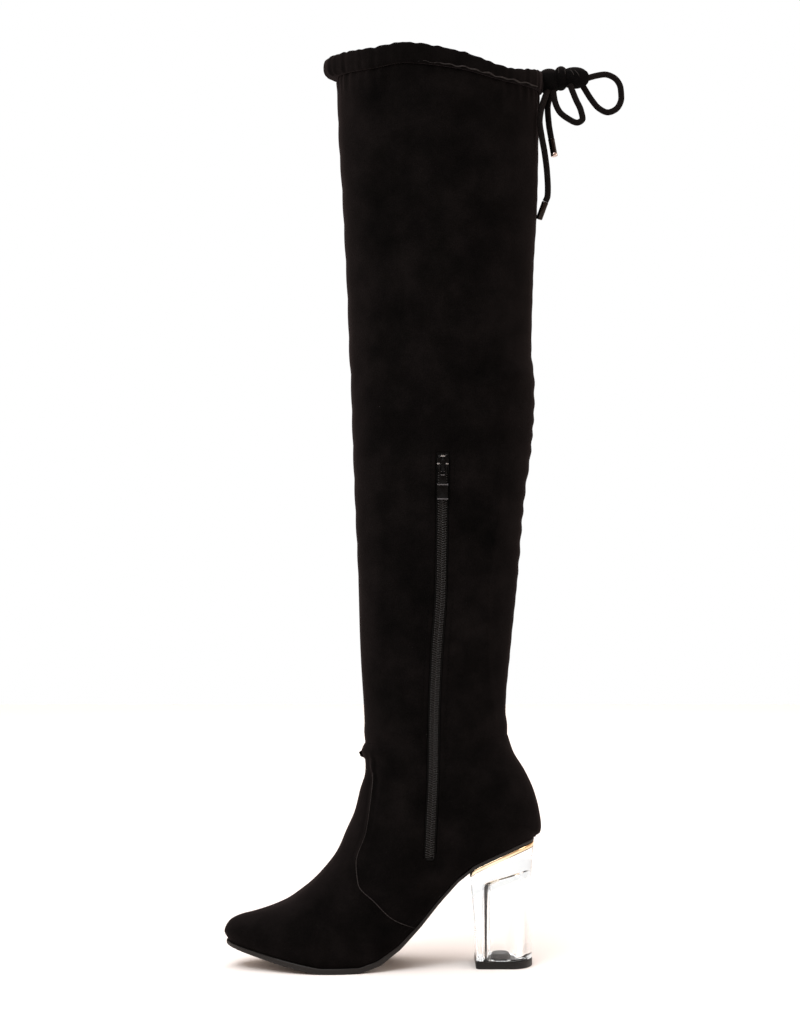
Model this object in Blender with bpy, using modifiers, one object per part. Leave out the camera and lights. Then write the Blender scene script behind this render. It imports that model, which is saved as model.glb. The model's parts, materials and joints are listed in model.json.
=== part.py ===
"""Thigh high boot, right foot: a velvet over-the-knee shaft and foot on a clear block heel.

Metres, +Z up. The toe points to -X and the inner side, which has the zip, faces -Y.
The origin is the centre of the heel tip's underside, on the floor.
Lengths in the script are millimetres, and each mesh is scaled by MM when it is made.
"""

import math

import bmesh
import bpy
import numpy as np
from mathutils import Matrix, Vector

MM = 0.001
GAP = 0.3

# Driving sizes of the foot
FOOT_LENGTH = 230.7
HEEL_SET = 27.4
BALL_WIDTH = 87.0
SEAT_HEIGHT = 91.0
ANKLE_HEIGHT = 162.0
WALL = 2.0
BULGE = 4.2
BULGE_RISE = 15.0
COUNTER_ROUND = 30.0
HEEL_TUCK = 3.3
HEEL_SWELL = 7.7
TUCK_STATION = 0.003
SOLE_STEP = 0.002

# Driving sizes of the shaft and its collar
COLLAR_HEIGHT = 647.0
SHAFT_DEPTH = 148.0
SHAFT_WIDTH = 114.0
SHAFT_AXIS = -47.5
ANKLE_RISE = 6.0
COLLAR_DROP = 11.0
CASING_HEIGHT = 15.0
CASING_THICK = 4.4
CASING_BUMP = 7.0
BUMP_REACH = 16.0
CASING_ROUND_OUT = 0.7
CASING_ROUND_UP = 0.8

# Driving sizes of the sole and the heel
SOLE_BALL = 4.2
SOLE_TOE = 3.0
SOLE_SEAT = 2.2
SOLE_EDGE = 0.9
SOLE_ROUND = 0.7
SOLE_ROUND_AT = 0.25
INSOLE_THICK = 2.5
INSOLE_CLEAR = 1.9
PLATE_THICK = 3.0
TIP_THICK = 5.5
HEEL_FRONT = 20.8
HEEL_BACK = 20.8
HEEL_BREAST = 25.2
HEEL_SEAT_BACK = 22.0
HEEL_HALF_LOW = 21.6
HEEL_HALF_TOP = 26.5
HEEL_ROUND_LOW = 15.0
HEEL_ROUND_TOP = 26.0
HEEL_CORNER = 3.0
HEEL_EDGE = 0.5
CORE_SLOPE = 0.7
CORE_SQUARE = 2.6
CORE_FRONT = -16.4
CORE_BACK = 11.2
CORE_HALF = 14.0
CORE_TOP = 66.0
PLUG_HEIGHT = 4.0
PLUG_CLEAR = 4.4
PLUG_EDGE = 2.0
CUT_OVER = 1.0

# Driving sizes of the zip
ZIP_TOP = 373.0
ZIP_END = 80.0
SLOT_WIDTH = 9.5
SLOT_NEAR = 0.8
SLOT_FAR = 0.1
TAPE_THICK = 0.7
CHAIN_WIDTH = 6.0
CHAIN_THICK = 1.3
CHAIN_PROUD = 0.2
CHAIN_SHORT = 1.5
SLIDER_HEIGHT = 364.0
SLIDER_LENGTH = 11.5
SLIDER_WIDTH = 8.8
SLIDER_PLATE = 1.6
WING_INSET = 0.6
WING_DEPTH = 1.8
BRIDGE_INSET = 1.3
BRIDGE_RISE = 1.7
BRIDGE_WIRE = 1.6
BRIDGE_LEAN = 0.1
PULL_LENGTH = 25.5
PULL_WIDTH = 7.6
PULL_THICK = 1.0
PULL_EYE = 7.4
PULL_SHOULDER = 13.2
PULL_NECK = 5.4
EYE_WIDTH = 3.4
NECK_SLANT = 1.8

# Driving sizes of the drawstring
CORD_WIDTH = 4.5
AGLET_WIDTH = 5.0
AGLET_LENGTH = 13.5
AGLET_EDGE = 0.5

# Where one form of the skin turns into the next: a start and the run it takes. The first two pairs
# are shares of ANKLE_HEIGHT, and the others are stations on the foot.
UPRIGHT_FROM = 0.55
UPRIGHT_OVER = 0.38
LEG_OVER = 0.44
LEG_END = 0.68
LEG_FADE = 0.20
BULGE_FROM = 0.30
BULGE_OVER = 0.30
BULGE_LOSS = 0.55
WAIST_END = 0.35
WAIST_OVER = 0.20
TOE_FROM = 0.75
TOE_OVER = 0.25
EDGE_FROM = 0.45
EDGE_OVER = 0.15
COLLAR_FROM = 0.75

# How finely the skin is divided
HALF_COLUMNS = 24
FOOT_ROWS = 13
ROW_CROWD = 1.7
SHAFT_ROWS = 18
HEEL_STATIONS = 13
HEEL_CORNER_STEPS = (0.0, 0.13, 0.5, 1.0)
BLOCK_LEVELS = (0.0, 0.15, 0.3, 0.45, 0.6, 0.75, 0.88, 1.0)
CORE_SIDES = 20
CASING_TURNS = 8
SLOT_STATIONS = 26
ZIP_STEP = 1.5
FOLD_ANGLE = 35.0
CASING_FOLD_ANGLE = 60.0
AGLET_FOLD_ANGLE = 40.0

# Underside of the outsole: station from the heel's back to the toe as a share of FOOT_LENGTH, and
# height as a share of SEAT_HEIGHT. The two zeros are the ends of the flat spot under the ball.
SOLE_LINE = (
    (0.020, 1.000),
    (0.068, 0.966),
    (0.126, 0.907),
    (0.185, 0.837),
    (0.228, 0.780),
    (0.288, 0.632),
    (0.336, 0.491),
    (0.380, 0.350),
    (0.437, 0.190),
    (0.481, 0.096),
    (0.516, 0.042),
    (0.550, 0.010),
    (0.575, 0.000),
    (0.690, 0.000),
    (0.756, 0.028),
    (0.854, 0.085),
    (0.921, 0.130),
    (0.975, 0.166),
    (0.994, 0.181),
)

# Featherline: distance of the inner and outer edge from the foot's axis, and of the ridge towards the
# inner side, as shares of BALL_WIDTH. The ends are rounded by the skin's own function.
EDGE_LINE = (
    (0.00, 0.305, 0.305, 0.000),
    (0.13, 0.312, 0.312, 0.000),
    (0.28, 0.315, 0.322, 0.000),
    (0.42, 0.345, 0.370, 0.000),
    (0.55, 0.435, 0.450, 0.000),
    (0.64, 0.488, 0.500, 0.005),
    (0.70, 0.492, 0.495, 0.012),
    (0.78, 0.452, 0.430, 0.025),
    (0.86, 0.372, 0.322, 0.042),
    (0.93, 0.285, 0.210, 0.055),
    (1.00, 0.215, 0.120, 0.062),
)

# Side view of the ridge from the toe to the ankle seam: station, and height as a share of ANKLE_HEIGHT.
RIDGE_LINE = (
    (1.000, 0.158),
    (0.985, 0.203),
    (0.949, 0.230),
    (0.908, 0.244),
    (0.854, 0.267),
    (0.801, 0.299),
    (0.763, 0.336),
    (0.725, 0.379),
    (0.693, 0.425),
    (0.645, 0.514),
    (0.617, 0.604),
    (0.589, 0.694),
    (0.573, 0.784),
    (0.556, 0.880),
    (0.556, 0.915),
    (0.569, 0.962),
    (0.556, 1.000),
)

# Side view of the heel's back above its fullest point: station, and level from the featherline to
# ANKLE_HEIGHT.
COUNTER_LINE = (
    (0.006, 0.277),
    (0.022, 0.490),
    (0.051, 0.703),
    (0.088, 0.905),
    (0.108, 1.000),
)

# Depth over which the skin rounds off from the ridge: station, and depth as a share of SHAFT_DEPTH.
RIDGE_ROUND = (
    (0.30, 0.350),
    (0.55, 0.340),
    (0.64, 0.285),
    (0.72, 0.225),
    (0.80, 0.165),
    (0.90, 0.125),
    (1.00, 0.100),
)

# Shaft: level from the ankle seam to the collar seam, front and back as shares of SHAFT_DEPTH from
# the shaft's axis, and half width as a share of SHAFT_WIDTH.
SHAFT_LINE = (
    (0.000, -0.362, 0.339, 0.307),
    (0.040, -0.366, 0.329, 0.308),
    (0.130, -0.381, 0.353, 0.316),
    (0.250, -0.397, 0.391, 0.345),
    (0.380, -0.414, 0.428, 0.386),
    (0.440, -0.422, 0.453, 0.403),
    (0.535, -0.431, 0.472, 0.421),
    (0.600, -0.444, 0.458, 0.430),
    (0.720, -0.458, 0.468, 0.447),
    (0.810, -0.473, 0.483, 0.463),
    (0.910, -0.494, 0.491, 0.483),
    (1.000, -0.503, 0.499, 0.500),
)

# Collar from the front to the back: share of its depth, how far its seam rises above a straight line
# and how tall the casing is there, both as shares of CASING_HEIGHT.
COLLAR_LINE = (
    (0.00, 0.00, 0.93),
    (0.17, 0.13, 0.90),
    (0.345, 0.41, 0.89),
    (0.60, 0.29, 0.75),
    (0.84, 0.00, 0.59),
    (1.00, 0.00, 0.93),
)

# Zip line on the inner side: height as a share of ANKLE_HEIGHT, and station.
ZIP_LINE = (
    (0.45, 0.355),
    (0.59, 0.352),
    (0.87, 0.344),
    (1.12, 0.341),
    (1.40, 0.333),
    (1.68, 0.320),
    (2.10, 0.3155),
    (2.35, 0.3140),
)

# Plan of the heel block, from its underside to the seat: level, how far the front and the back have
# moved from the low outline to the top one, and the same for the half width.
HEEL_LINE = (
    (0.00, 0.00, 0.00, 0.00),
    (0.35, 0.30, -0.40, 0.10),
    (0.70, 0.62, -0.40, 0.40),
    (0.88, 0.85, 0.15, 0.75),
    (1.00, 1.00, 1.00, 1.00),
)


def through(table, x, column=1):
    """Monotone cubic through one column of a table: it never overshoots its rows."""
    rows = np.array(table, float)
    if rows[0, 0] > rows[-1, 0]:
        rows = rows[::-1]
    xs, ys = rows[:, 0], rows[:, column]
    step = np.diff(xs)
    slope = np.diff(ys) / step
    tangent = np.empty(len(xs))
    tangent[0], tangent[-1] = slope[0], slope[-1]
    product = slope[:-1] * slope[1:]
    total = slope[:-1] + slope[1:]
    safe = np.where(product > 0, total, 1.0)
    tangent[1:-1] = np.where(product > 0, 2 * product / safe, 0.0)
    x = np.clip(np.asarray(x, float), xs[0], xs[-1])
    i = np.clip(np.searchsorted(xs, x) - 1, 0, len(step) - 1)
    h = step[i]
    s = (x - xs[i]) / h
    return (
        ys[i] * (1 + 2 * s) * (1 - s) ** 2
        + tangent[i] * h * s * (1 - s) ** 2
        + ys[i + 1] * s * s * (3 - 2 * s)
        + tangent[i + 1] * h * s * s * (s - 1)
    )


def path_through(points, count):
    """Smooth path of so many points through hand-chosen ones, spaced by its length."""
    points = np.asarray(points, float)
    chord = np.linalg.norm(np.diff(points, axis=0), axis=1)
    knots = np.concatenate([[0.0], np.cumsum(chord)])
    fine = np.linspace(0.0, knots[-1], 40 * len(points))
    axes = [
        through(np.column_stack([knots, points[:, axis]]), fine)
        for axis in range(points.shape[1])
    ]
    dense = np.column_stack(axes)
    run = np.concatenate([[0.0], np.cumsum(np.linalg.norm(np.diff(dense, axis=0), axis=1))])
    wanted = np.linspace(0.0, run[-1], count)
    return np.column_stack([np.interp(wanted, run, dense[:, axis]) for axis in range(dense.shape[1])])


def ease(value):
    """Smooth step from 0 to 1."""
    value = np.clip(value, 0.0, 1.0)
    return value * value * (3 - 2 * value)


def quarter_round(value):
    """Rises like a quarter of a circle from 0 to 1, and stays there."""
    value = np.clip(value, 0.0, 1.0)
    return np.sqrt(1.0 - (1.0 - value) ** 2)


def station_x(station):
    return HEEL_SET - np.asarray(station, float) * FOOT_LENGTH


def x_station(x):
    return (HEEL_SET - np.asarray(x, float)) / FOOT_LENGTH


def sole_thickness(station):
    """Thin at the seat and through the arch, full under the ball, less at the toe."""
    fore = SOLE_SEAT + (SOLE_BALL - SOLE_SEAT) * ease((station - WAIST_END) / WAIST_OVER)
    return fore + (SOLE_TOE - SOLE_BALL) * ease((station - TOE_FROM) / TOE_OVER)


def sole_point(station, lift):
    """Side view of the sole's underside, moved along its own normal by lift."""
    station = np.asarray(station, float)
    ahead = np.clip(station + SOLE_STEP, SOLE_LINE[0][0], SOLE_LINE[-1][0])
    behind = np.clip(station - SOLE_STEP, SOLE_LINE[0][0], SOLE_LINE[-1][0])
    rise = (through(SOLE_LINE, ahead) - through(SOLE_LINE, behind)) * SEAT_HEIGHT
    run = station_x(ahead) - station_x(behind)
    length = np.hypot(run, rise)
    x = station_x(station) + lift * rise / length
    z = through(SOLE_LINE, station) * SEAT_HEIGHT - lift * run / length
    return x, z


def sole_station(share):
    """Station on the sole, from its toe at share 0 to its heel at share 1."""
    return SOLE_LINE[-1][0] + (SOLE_LINE[0][0] - SOLE_LINE[-1][0]) * np.asarray(share, float)


def featherline(share):
    """Where the upper meets the sole, from the toe at share 0 to the heel at share 1."""
    station = sole_station(share)
    return sole_point(station, sole_thickness(station) + GAP)


def shaft_row(level):
    """Front and back end of one level of the shaft, in side view."""
    level = np.asarray(level, float)
    front_x = SHAFT_AXIS + through(SHAFT_LINE, level, 1) * SHAFT_DEPTH
    back_x = SHAFT_AXIS + through(SHAFT_LINE, level, 2) * SHAFT_DEPTH
    front_z = ANKLE_HEIGHT + level * (COLLAR_HEIGHT - ANKLE_HEIGHT)
    low_back = ANKLE_HEIGHT + ANKLE_RISE
    back_z = low_back + level * (COLLAR_HEIGHT - COLLAR_DROP - low_back)
    return np.stack([front_x, front_z], axis=-1), np.stack([back_x, back_z], axis=-1)


def collar_rise(share, level):
    """How far a row of the shaft is lifted at a share of its depth: only near the collar."""
    lift = through(COLLAR_LINE, share, 1) * CASING_HEIGHT
    return lift * ease((level - COLLAR_FROM) / (1 - COLLAR_FROM))


def side_lines():
    """The front and back outlines of the foot in side view, each starting at the featherline."""
    ridge = np.array(RIDGE_LINE)
    ridge = np.column_stack([station_x(ridge[:, 0]), ridge[:, 1] * ANKLE_HEIGHT])
    toe = np.array(featherline(0.0))
    seat = np.array(featherline(1.0))
    counter = np.array(COUNTER_LINE)
    counter_z = seat[1] + counter[:, 1] * (ANKLE_HEIGHT - seat[1])
    counter = np.column_stack([station_x(counter[:, 0]), counter_z])
    tuck = (station_x(TUCK_STATION), seat[1] + HEEL_TUCK)
    swell = (station_x(0.0), seat[1] + HEEL_SWELL)
    ankle_front, ankle_back = shaft_row(0.0)
    ridge[-1] = ankle_front
    counter[-1] = ankle_back
    return np.vstack([toe, ridge]), np.vstack([seat, tuck, swell, counter])


RIDGE_POINTS, COUNTER_POINTS = side_lines()
LEVELS = np.linspace(0.0, 1.0, 60)
FRONT_OUTLINE = np.vstack([path_through(RIDGE_POINTS, 90), shaft_row(LEVELS[1:])[0]])
BACK_OUTLINE = np.vstack([path_through(COUNTER_POINTS, 50), shaft_row(LEVELS[1:])[1]])
BASE_OUTLINE = np.column_stack(featherline(np.linspace(0.0, 1.0, 90)))


def distance_to(outline, x, z):
    """Shortest distance from each point to a line of short segments."""
    point = np.stack([np.ravel(x), np.ravel(z)], axis=-1)[:, None, :]
    start, run = outline[:-1], np.diff(outline, axis=0)
    along = ((point - start) * run).sum(-1) / (run * run).sum(-1)
    nearest = start + np.clip(along, 0.0, 1.0)[..., None] * run
    return np.linalg.norm(point - nearest, axis=-1).min(axis=1).reshape(np.shape(x))


def skin_sides(x, z):
    """Inner and outer y of the skin at a place in side view.

    The half width comes from the featherline near the sole and from the shaft further up. It rounds
    off to the ridge and to the heel's back with the distance to each outline.
    """
    x, z = np.asarray(x, float), np.asarray(z, float)
    station = np.clip(x_station(x), 0.0, 1.0)
    from_front = distance_to(FRONT_OUTLINE, x, z)
    from_back = distance_to(BACK_OUTLINE, x, z)
    from_base = distance_to(BASE_OUTLINE, x, z)
    level = np.clip((z - ANKLE_HEIGHT) / (COLLAR_HEIGHT - ANKLE_HEIGHT), 0.0, 1.0)
    front, back = shaft_row(level)
    half_depth = (back[..., 0] - front[..., 0]) / 2
    shaft_half = through(SHAFT_LINE, level, 3) * SHAFT_WIDTH
    up = ease((z / ANKLE_HEIGHT - UPRIGHT_FROM) / UPRIGHT_OVER)
    ridge_round = np.minimum(through(RIDGE_ROUND, station) * SHAFT_DEPTH, half_depth)
    front_round = ridge_round * (1 - up) + half_depth * up
    back_round = COUNTER_ROUND * (1 - up) + half_depth * up
    rounding = quarter_round(from_front / front_round) * quarter_round(from_back / back_round)
    bulge = BULGE * np.sin(0.5 * math.pi * np.clip(from_base / BULGE_RISE, 0.0, 1.0))
    bulge = bulge * (1 - BULGE_LOSS * ease((station - BULGE_FROM) / BULGE_OVER))
    to_shaft = ease(from_base / (LEG_OVER * ANKLE_HEIGHT))
    to_shaft = to_shaft * (1 - ease((station - LEG_END) / LEG_FADE))
    ridge_y = -through(EDGE_LINE, station, 3) * BALL_WIDTH * (1 - ease(from_base / ANKLE_HEIGHT))
    sides = []
    for column, sign in ((1, -1.0), (2, 1.0)):
        edge = through(EDGE_LINE, station, column) * BALL_WIDTH + bulge
        half = (edge - sign * ridge_y) * (1 - to_shaft) + shaft_half * to_shaft
        sides.append(ridge_y + sign * half * rounding)
    return sides


def round_shares():
    """Shares from the front to the back for each column round the boot, and the side of each."""
    angle = np.linspace(0.0, 2 * math.pi, 2 * HALF_COLUMNS, endpoint=False)
    return (1 - np.cos(angle)) / 2, angle < math.pi


def skin_points(x, z, inner):
    """World points of the skin for side-view places, the inner side where inner is true."""
    low, high = skin_sides(x, z)
    return np.stack([x, np.where(inner, low, high), z], axis=-1)


def foot_rows(count, top_gap):
    """Rows of the foot's skin from the featherline to the ankle seam.

    In side view each row is a Coons patch's: the ridge, the heel's back, the featherline and the
    ankle seam bound it.
    """
    share, inner = round_shares()
    rise = np.linspace(0.0, 1.0, count + 1)[:, None] ** ROW_CROWD
    ridge = path_through(RIDGE_POINTS, 400)
    counter = path_through(COUNTER_POINTS, 400)
    fine = np.linspace(0.0, 1.0, 400)
    low_x, low_z = featherline(share)
    ankle_front, ankle_back = shaft_row(0.0)
    ankle_front = ankle_front - [0.0, top_gap]
    ankle_back = ankle_back - [0.0, top_gap]
    rows = []
    for axis, low in ((0, low_x), (1, low_z)):
        front = np.interp(rise, fine, ridge[:, axis]) - top_gap * axis * rise
        back = np.interp(rise, fine, counter[:, axis]) - top_gap * axis * rise
        high = ankle_front[axis] + (ankle_back[axis] - ankle_front[axis]) * share
        corners = (1 - share) * ((1 - rise) * low[0] + rise * high[0]) + share * (
            (1 - rise) * low[HALF_COLUMNS] + rise * high[HALF_COLUMNS]
        )
        rows.append((1 - share) * front + share * back + (1 - rise) * low + rise * high - corners)
    inner = np.broadcast_to(inner, rows[0].shape)
    return skin_points(rows[0], rows[1], inner)


def shaft_rows(count):
    """Rows of the shaft's skin from the ankle seam to the collar seam."""
    share, inner = round_shares()
    level = np.linspace(0.0, 1.0, count + 1)
    front, back = shaft_row(level)
    x = front[:, :1] + (back[:, :1] - front[:, :1]) * share
    z = front[:, 1:] + (back[:, 1:] - front[:, 1:]) * share
    z = z + collar_rise(share, level[:, None])
    return skin_points(x, z, np.broadcast_to(inner, x.shape))


def sole_height(x, lift):
    """Height of the sole's line at a lift, straight between the columns and past its two ends."""
    station = sole_station(round_shares()[0][: HALF_COLUMNS + 1])
    line_x, line_z = sole_point(station, lift(station))
    first = (line_z[1] - line_z[0]) / (line_x[1] - line_x[0])
    last = (line_z[-1] - line_z[-2]) / (line_x[-1] - line_x[-2])
    height = np.interp(x, line_x, line_z)
    height += np.minimum(x - line_x[0], 0.0) * first
    return height + np.maximum(x - line_x[-1], 0.0) * last


def collection(name):
    made = bpy.data.collections.new(name)
    bpy.context.scene.collection.children.link(made)
    return made


def material(name, colour, roughness, metallic=0.0):
    made = bpy.data.materials.new(name)
    made.use_nodes = True
    shader = made.node_tree.nodes["Principled BSDF"]
    shader.inputs["Base Color"].default_value = (*colour, 1.0)
    shader.inputs["Roughness"].default_value = roughness
    shader.inputs["Metallic"].default_value = metallic
    made.diffuse_color = (*colour, 1.0)
    return made


def add_object(name, data, owner, finish=None):
    made = bpy.data.objects.new(name, data)
    owner.objects.link(made)
    if finish:
        data.materials.append(finish)
    return made


def mesh_from(name, points, faces, owner, finish=None, sharp=FOLD_ANGLE):
    """Object from millimetre points, with coincident points merged and its faces turned outwards."""
    data = bpy.data.meshes.new(name)
    data.from_pydata((np.asarray(points, float) * MM).tolist(), [], faces)
    shape = bmesh.new()
    shape.from_mesh(data)
    bmesh.ops.remove_doubles(shape, verts=shape.verts, dist=1e-7)
    if not any(edge.is_boundary for edge in shape.edges):
        bmesh.ops.recalc_face_normals(shape, faces=shape.faces)
    shape.to_mesh(data)
    shape.free()
    data.shade_smooth()
    data.set_sharp_from_angle(angle=math.radians(sharp))
    return add_object(name, data, owner, finish)


def open_skin(name, rows, owner, finish):
    """Open surface from rows of points that close on themselves, with its wall inside it."""
    count, columns = rows.shape[:2]
    faces = []
    for i in range(count - 1):
        for j in range(columns):
            k = (j + 1) % columns
            faces.append((i * columns + j, i * columns + k, (i + 1) * columns + k, (i + 1) * columns + j))
    made = mesh_from(name, rows.reshape(-1, 3), faces, owner, finish)
    wall = made.modifiers.new("wall", "SOLIDIFY")
    wall.thickness = WALL * MM
    wall.offset = -1.0
    wall.use_even_offset = True
    return made


def rim(rows, columns):
    """Indices of a grid's edge, once round it."""
    grid = np.arange(rows * columns).reshape(rows, columns)
    return np.concatenate([grid[0], grid[1:, -1], grid[-1, -2::-1], grid[-2:0:-1, 0]])


def stack(name, layers, owner, finish=None, sharp=FOLD_ANGLE):
    """Closed solid between the first and last of several grids of points, with sides through them all."""
    layers = np.asarray(layers, float)
    count, rows, columns = layers.shape[:3]
    size = rows * columns
    faces = []
    for i in range(rows - 1):
        for j in range(columns - 1):
            first = i * columns + j
            quad = (first, first + 1, first + columns + 1, first + columns)
            faces.append(quad)
            faces.append(tuple(index + (count - 1) * size for index in reversed(quad)))
    edge = rim(rows, columns)
    for layer in range(count - 1):
        for a, b in zip(edge, np.roll(edge, -1)):
            low, high = layer * size, (layer + 1) * size
            faces.append((int(a + low), int(a + high), int(b + high), int(b + low)))
    return mesh_from(name, layers.reshape(-1, 3), faces, owner, finish, sharp)


def sole_grid(lift, outset):
    """Grid of points over the sole at a lift above its underside, its outline moved out by outset."""
    share, inner = round_shares()
    x, z = featherline(share)
    loop = skin_points(x, z, inner)[:, :2]
    tangent = np.roll(loop, -1, axis=0) - np.roll(loop, 1, axis=0)
    tangent /= np.linalg.norm(tangent, axis=1)[:, None]
    outward = np.column_stack([tangent[:, 1], -tangent[:, 0]])
    outward *= np.sign((outward * (loop - [SHAFT_AXIS, 0.0])).sum(axis=1))[:, None]
    station = sole_station(share)
    extra = outset(station) if callable(outset) else outset
    moved = loop + outward * np.reshape(extra, (-1, 1))
    half = HALF_COLUMNS + 1
    near, far = moved[:half], np.vstack([moved[:1], moved[:HALF_COLUMNS - 1:-1]])
    side = np.linspace(0.0, 1.0, 5)[None, :, None]
    plan = near[:, None, :] * (1 - side) + far[:, None, :] * side
    return np.concatenate([plan, sole_height(plan[..., 0], lift)[..., None]], axis=-1)


def edge_outset(station):
    """The outsole stands out a little from the upper round the forefoot only."""
    return SOLE_EDGE * ease((station - EDGE_FROM) / EDGE_OVER)


def make_outsole(owner, finish):
    """Outsole with a rounded lower edge."""
    layers = [
        sole_grid(lambda station: 0 * station, lambda station: edge_outset(station) - SOLE_ROUND),
        sole_grid(lambda station: SOLE_ROUND_AT * sole_thickness(station), edge_outset),
        sole_grid(sole_thickness, edge_outset),
    ]
    return stack("outsole", layers, owner, finish)


def make_insole(owner, finish):
    inset = -(WALL + INSOLE_CLEAR)
    layers = [
        sole_grid(lambda station: sole_thickness(station) + GAP, inset),
        sole_grid(lambda station: sole_thickness(station) + GAP + INSOLE_THICK, inset - GAP),
    ]
    return stack("insole", layers, owner, finish)


def heel_grid(level, height, inset=0.0):
    """Grid over the heel's plan: straight at the breast with small corners, round at the back."""
    low_to_top = [through(HEEL_LINE, level, column) for column in (1, 2, 3)]
    front = -(HEEL_FRONT + (HEEL_BREAST - HEEL_FRONT) * low_to_top[0]) + inset
    back = HEEL_BACK + (HEEL_SEAT_BACK - HEEL_BACK) * low_to_top[1] - inset
    half = HEEL_HALF_LOW + (HEEL_HALF_TOP - HEEL_HALF_LOW) * low_to_top[2] - inset
    bend = HEEL_ROUND_LOW + (HEEL_ROUND_TOP - HEEL_ROUND_LOW) * level
    corner = front + HEEL_CORNER * np.array(HEEL_CORNER_STEPS)
    spread = np.sin(np.linspace(0.0, math.pi / 2, HEEL_STATIONS))[1:]
    x = np.concatenate([corner, corner[-1] + (back - corner[-1]) * spread])
    width = half - HEEL_CORNER + HEEL_CORNER * quarter_round((x - front) / HEEL_CORNER)
    width *= quarter_round((back - x) / bend)
    side = np.linspace(-1.0, 1.0, 5)
    plan_x = np.repeat(x[:, None], len(side), axis=1)
    return np.stack([plan_x, width[:, None] * side, height(plan_x)], axis=-1)


def seat_height(x):
    """Underside of the sole over the heel."""
    return sole_height(x, lambda station: 0 * station)


def core_outline(grow=0.0):
    """Plan of the heel's hollow core: an oblong with round corners."""
    loop = []
    middle = ((CORE_FRONT + CORE_BACK) / 2, 0.0)
    half_x = (CORE_BACK - CORE_FRONT) / 2 + grow
    half_y = CORE_HALF + grow
    for step in range(CORE_SIDES):
        angle = 2 * math.pi * step / CORE_SIDES
        c, s = math.cos(angle), math.sin(angle)
        squared = (abs(c) ** CORE_SQUARE + abs(s) ** CORE_SQUARE) ** (-1 / CORE_SQUARE)
        loop.append((middle[0] + half_x * squared * c, middle[1] + half_y * squared * s))
    return np.array(loop)


def prism(name, outline, low, high, owner, finish=None):
    """Closed solid between two heights over a plan outline."""
    count = len(outline)
    bottom = np.column_stack([outline, low(outline[:, 0])])
    top = np.column_stack([outline, high(outline[:, 0])])
    faces = [tuple(range(count)), tuple(range(2 * count - 1, count - 1, -1))]
    for i in range(count):
        k = (i + 1) % count
        faces.append((i, i + count, k + count, k))
    return mesh_from(name, np.vstack([bottom, top]), faces, owner, finish)


def boolean(target, cutter, operation="DIFFERENCE"):
    step = target.modifiers.new(cutter.name, "BOOLEAN")
    step.object = cutter
    step.operation = operation
    step.solver = "EXACT"
    return step


def make_heel(owner, cutters, finishes):
    """Gold plate, clear block with its hollow core, and the rubber tip with its plug."""
    plate_low = [
        heel_grid(1.0, lambda x: seat_height(x) - GAP - PLATE_THICK, HEEL_EDGE),
        heel_grid(1.0, lambda x: seat_height(x) - GAP - PLATE_THICK + 2 * HEEL_EDGE),
        heel_grid(1.0, lambda x: seat_height(x) - GAP),
    ]
    stack("heel_plate", plate_low, owner, finishes["gold"])
    block_low = TIP_THICK + GAP

    def block_height(level):
        return lambda x: block_low + level * (seat_height(x) - 2 * GAP - PLATE_THICK - block_low)

    grids = [heel_grid(level, block_height(level)) for level in BLOCK_LEVELS]
    block = stack("heel_block", grids, owner, finishes["clear"])
    slope = (seat_height(CORE_BACK) - seat_height(CORE_FRONT)) / (CORE_BACK - CORE_FRONT) * CORE_SLOPE
    core = prism(
        "heel_core",
        core_outline(),
        lambda x: 0 * x + block_low - CUT_OVER,
        lambda x: CORE_TOP + slope * (x - (CORE_FRONT + CORE_BACK) / 2),
        cutters,
    )
    boolean(block, core)
    tip = stack(
        "heel_tip",
        [heel_grid(0.0, lambda x: 0 * x, HEEL_EDGE)]
        + [heel_grid(0.0, lambda x, z=z: 0 * x + z) for z in (HEEL_EDGE, TIP_THICK)],
        owner,
        finishes["rubber"],
    )
    plug = prism(
        "heel_plug",
        core_outline(-PLUG_CLEAR),
        lambda x: 0 * x + TIP_THICK - CUT_OVER,
        lambda x: 0 * x + TIP_THICK + PLUG_HEIGHT,
        cutters,
    )
    rounded = plug.modifiers.new("edge", "BEVEL")
    rounded.width = PLUG_EDGE * MM
    rounded.segments = 2
    boolean(tip, plug, "UNION")


def zip_place(height):
    """Side-view place of the zip's middle line at a height."""
    return station_x(through(ZIP_LINE, np.asarray(height, float) / ANKLE_HEIGHT))


def zip_frame(height):
    """Point on the skin, and the across, up and outward directions of the zip at a height."""
    x = zip_place(height)

    def skin(px, pz):
        return np.stack([px, skin_sides(px, pz)[0], pz], axis=-1)

    here = skin(x, height)
    above, below = height + ZIP_STEP, height - ZIP_STEP
    up = skin(zip_place(above), above) - skin(zip_place(below), below)
    along = skin(x + ZIP_STEP, height) - skin(x - ZIP_STEP, height)
    up /= np.linalg.norm(up, axis=-1, keepdims=True)
    outward = np.cross(along, up)
    outward /= np.linalg.norm(outward, axis=-1, keepdims=True)
    across = np.cross(up, outward)
    return here, across, up, outward


def zip_strip(name, width, depth_in, depth_out, low, high, owner, finish):
    """Strip of an even thickness that follows the skin along the zip's line."""
    height = np.linspace(low, high, SLOT_STATIONS)
    here, across, up, outward = zip_frame(height)
    layers = []
    for depth in (depth_in, depth_out):
        rows = []
        for side in (-0.5, 0.0, 0.5):
            rows.append(here + across * side * width - outward * depth)
        layers.append(np.stack(rows, axis=1))
    return stack(name, layers, owner, finish)


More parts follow.
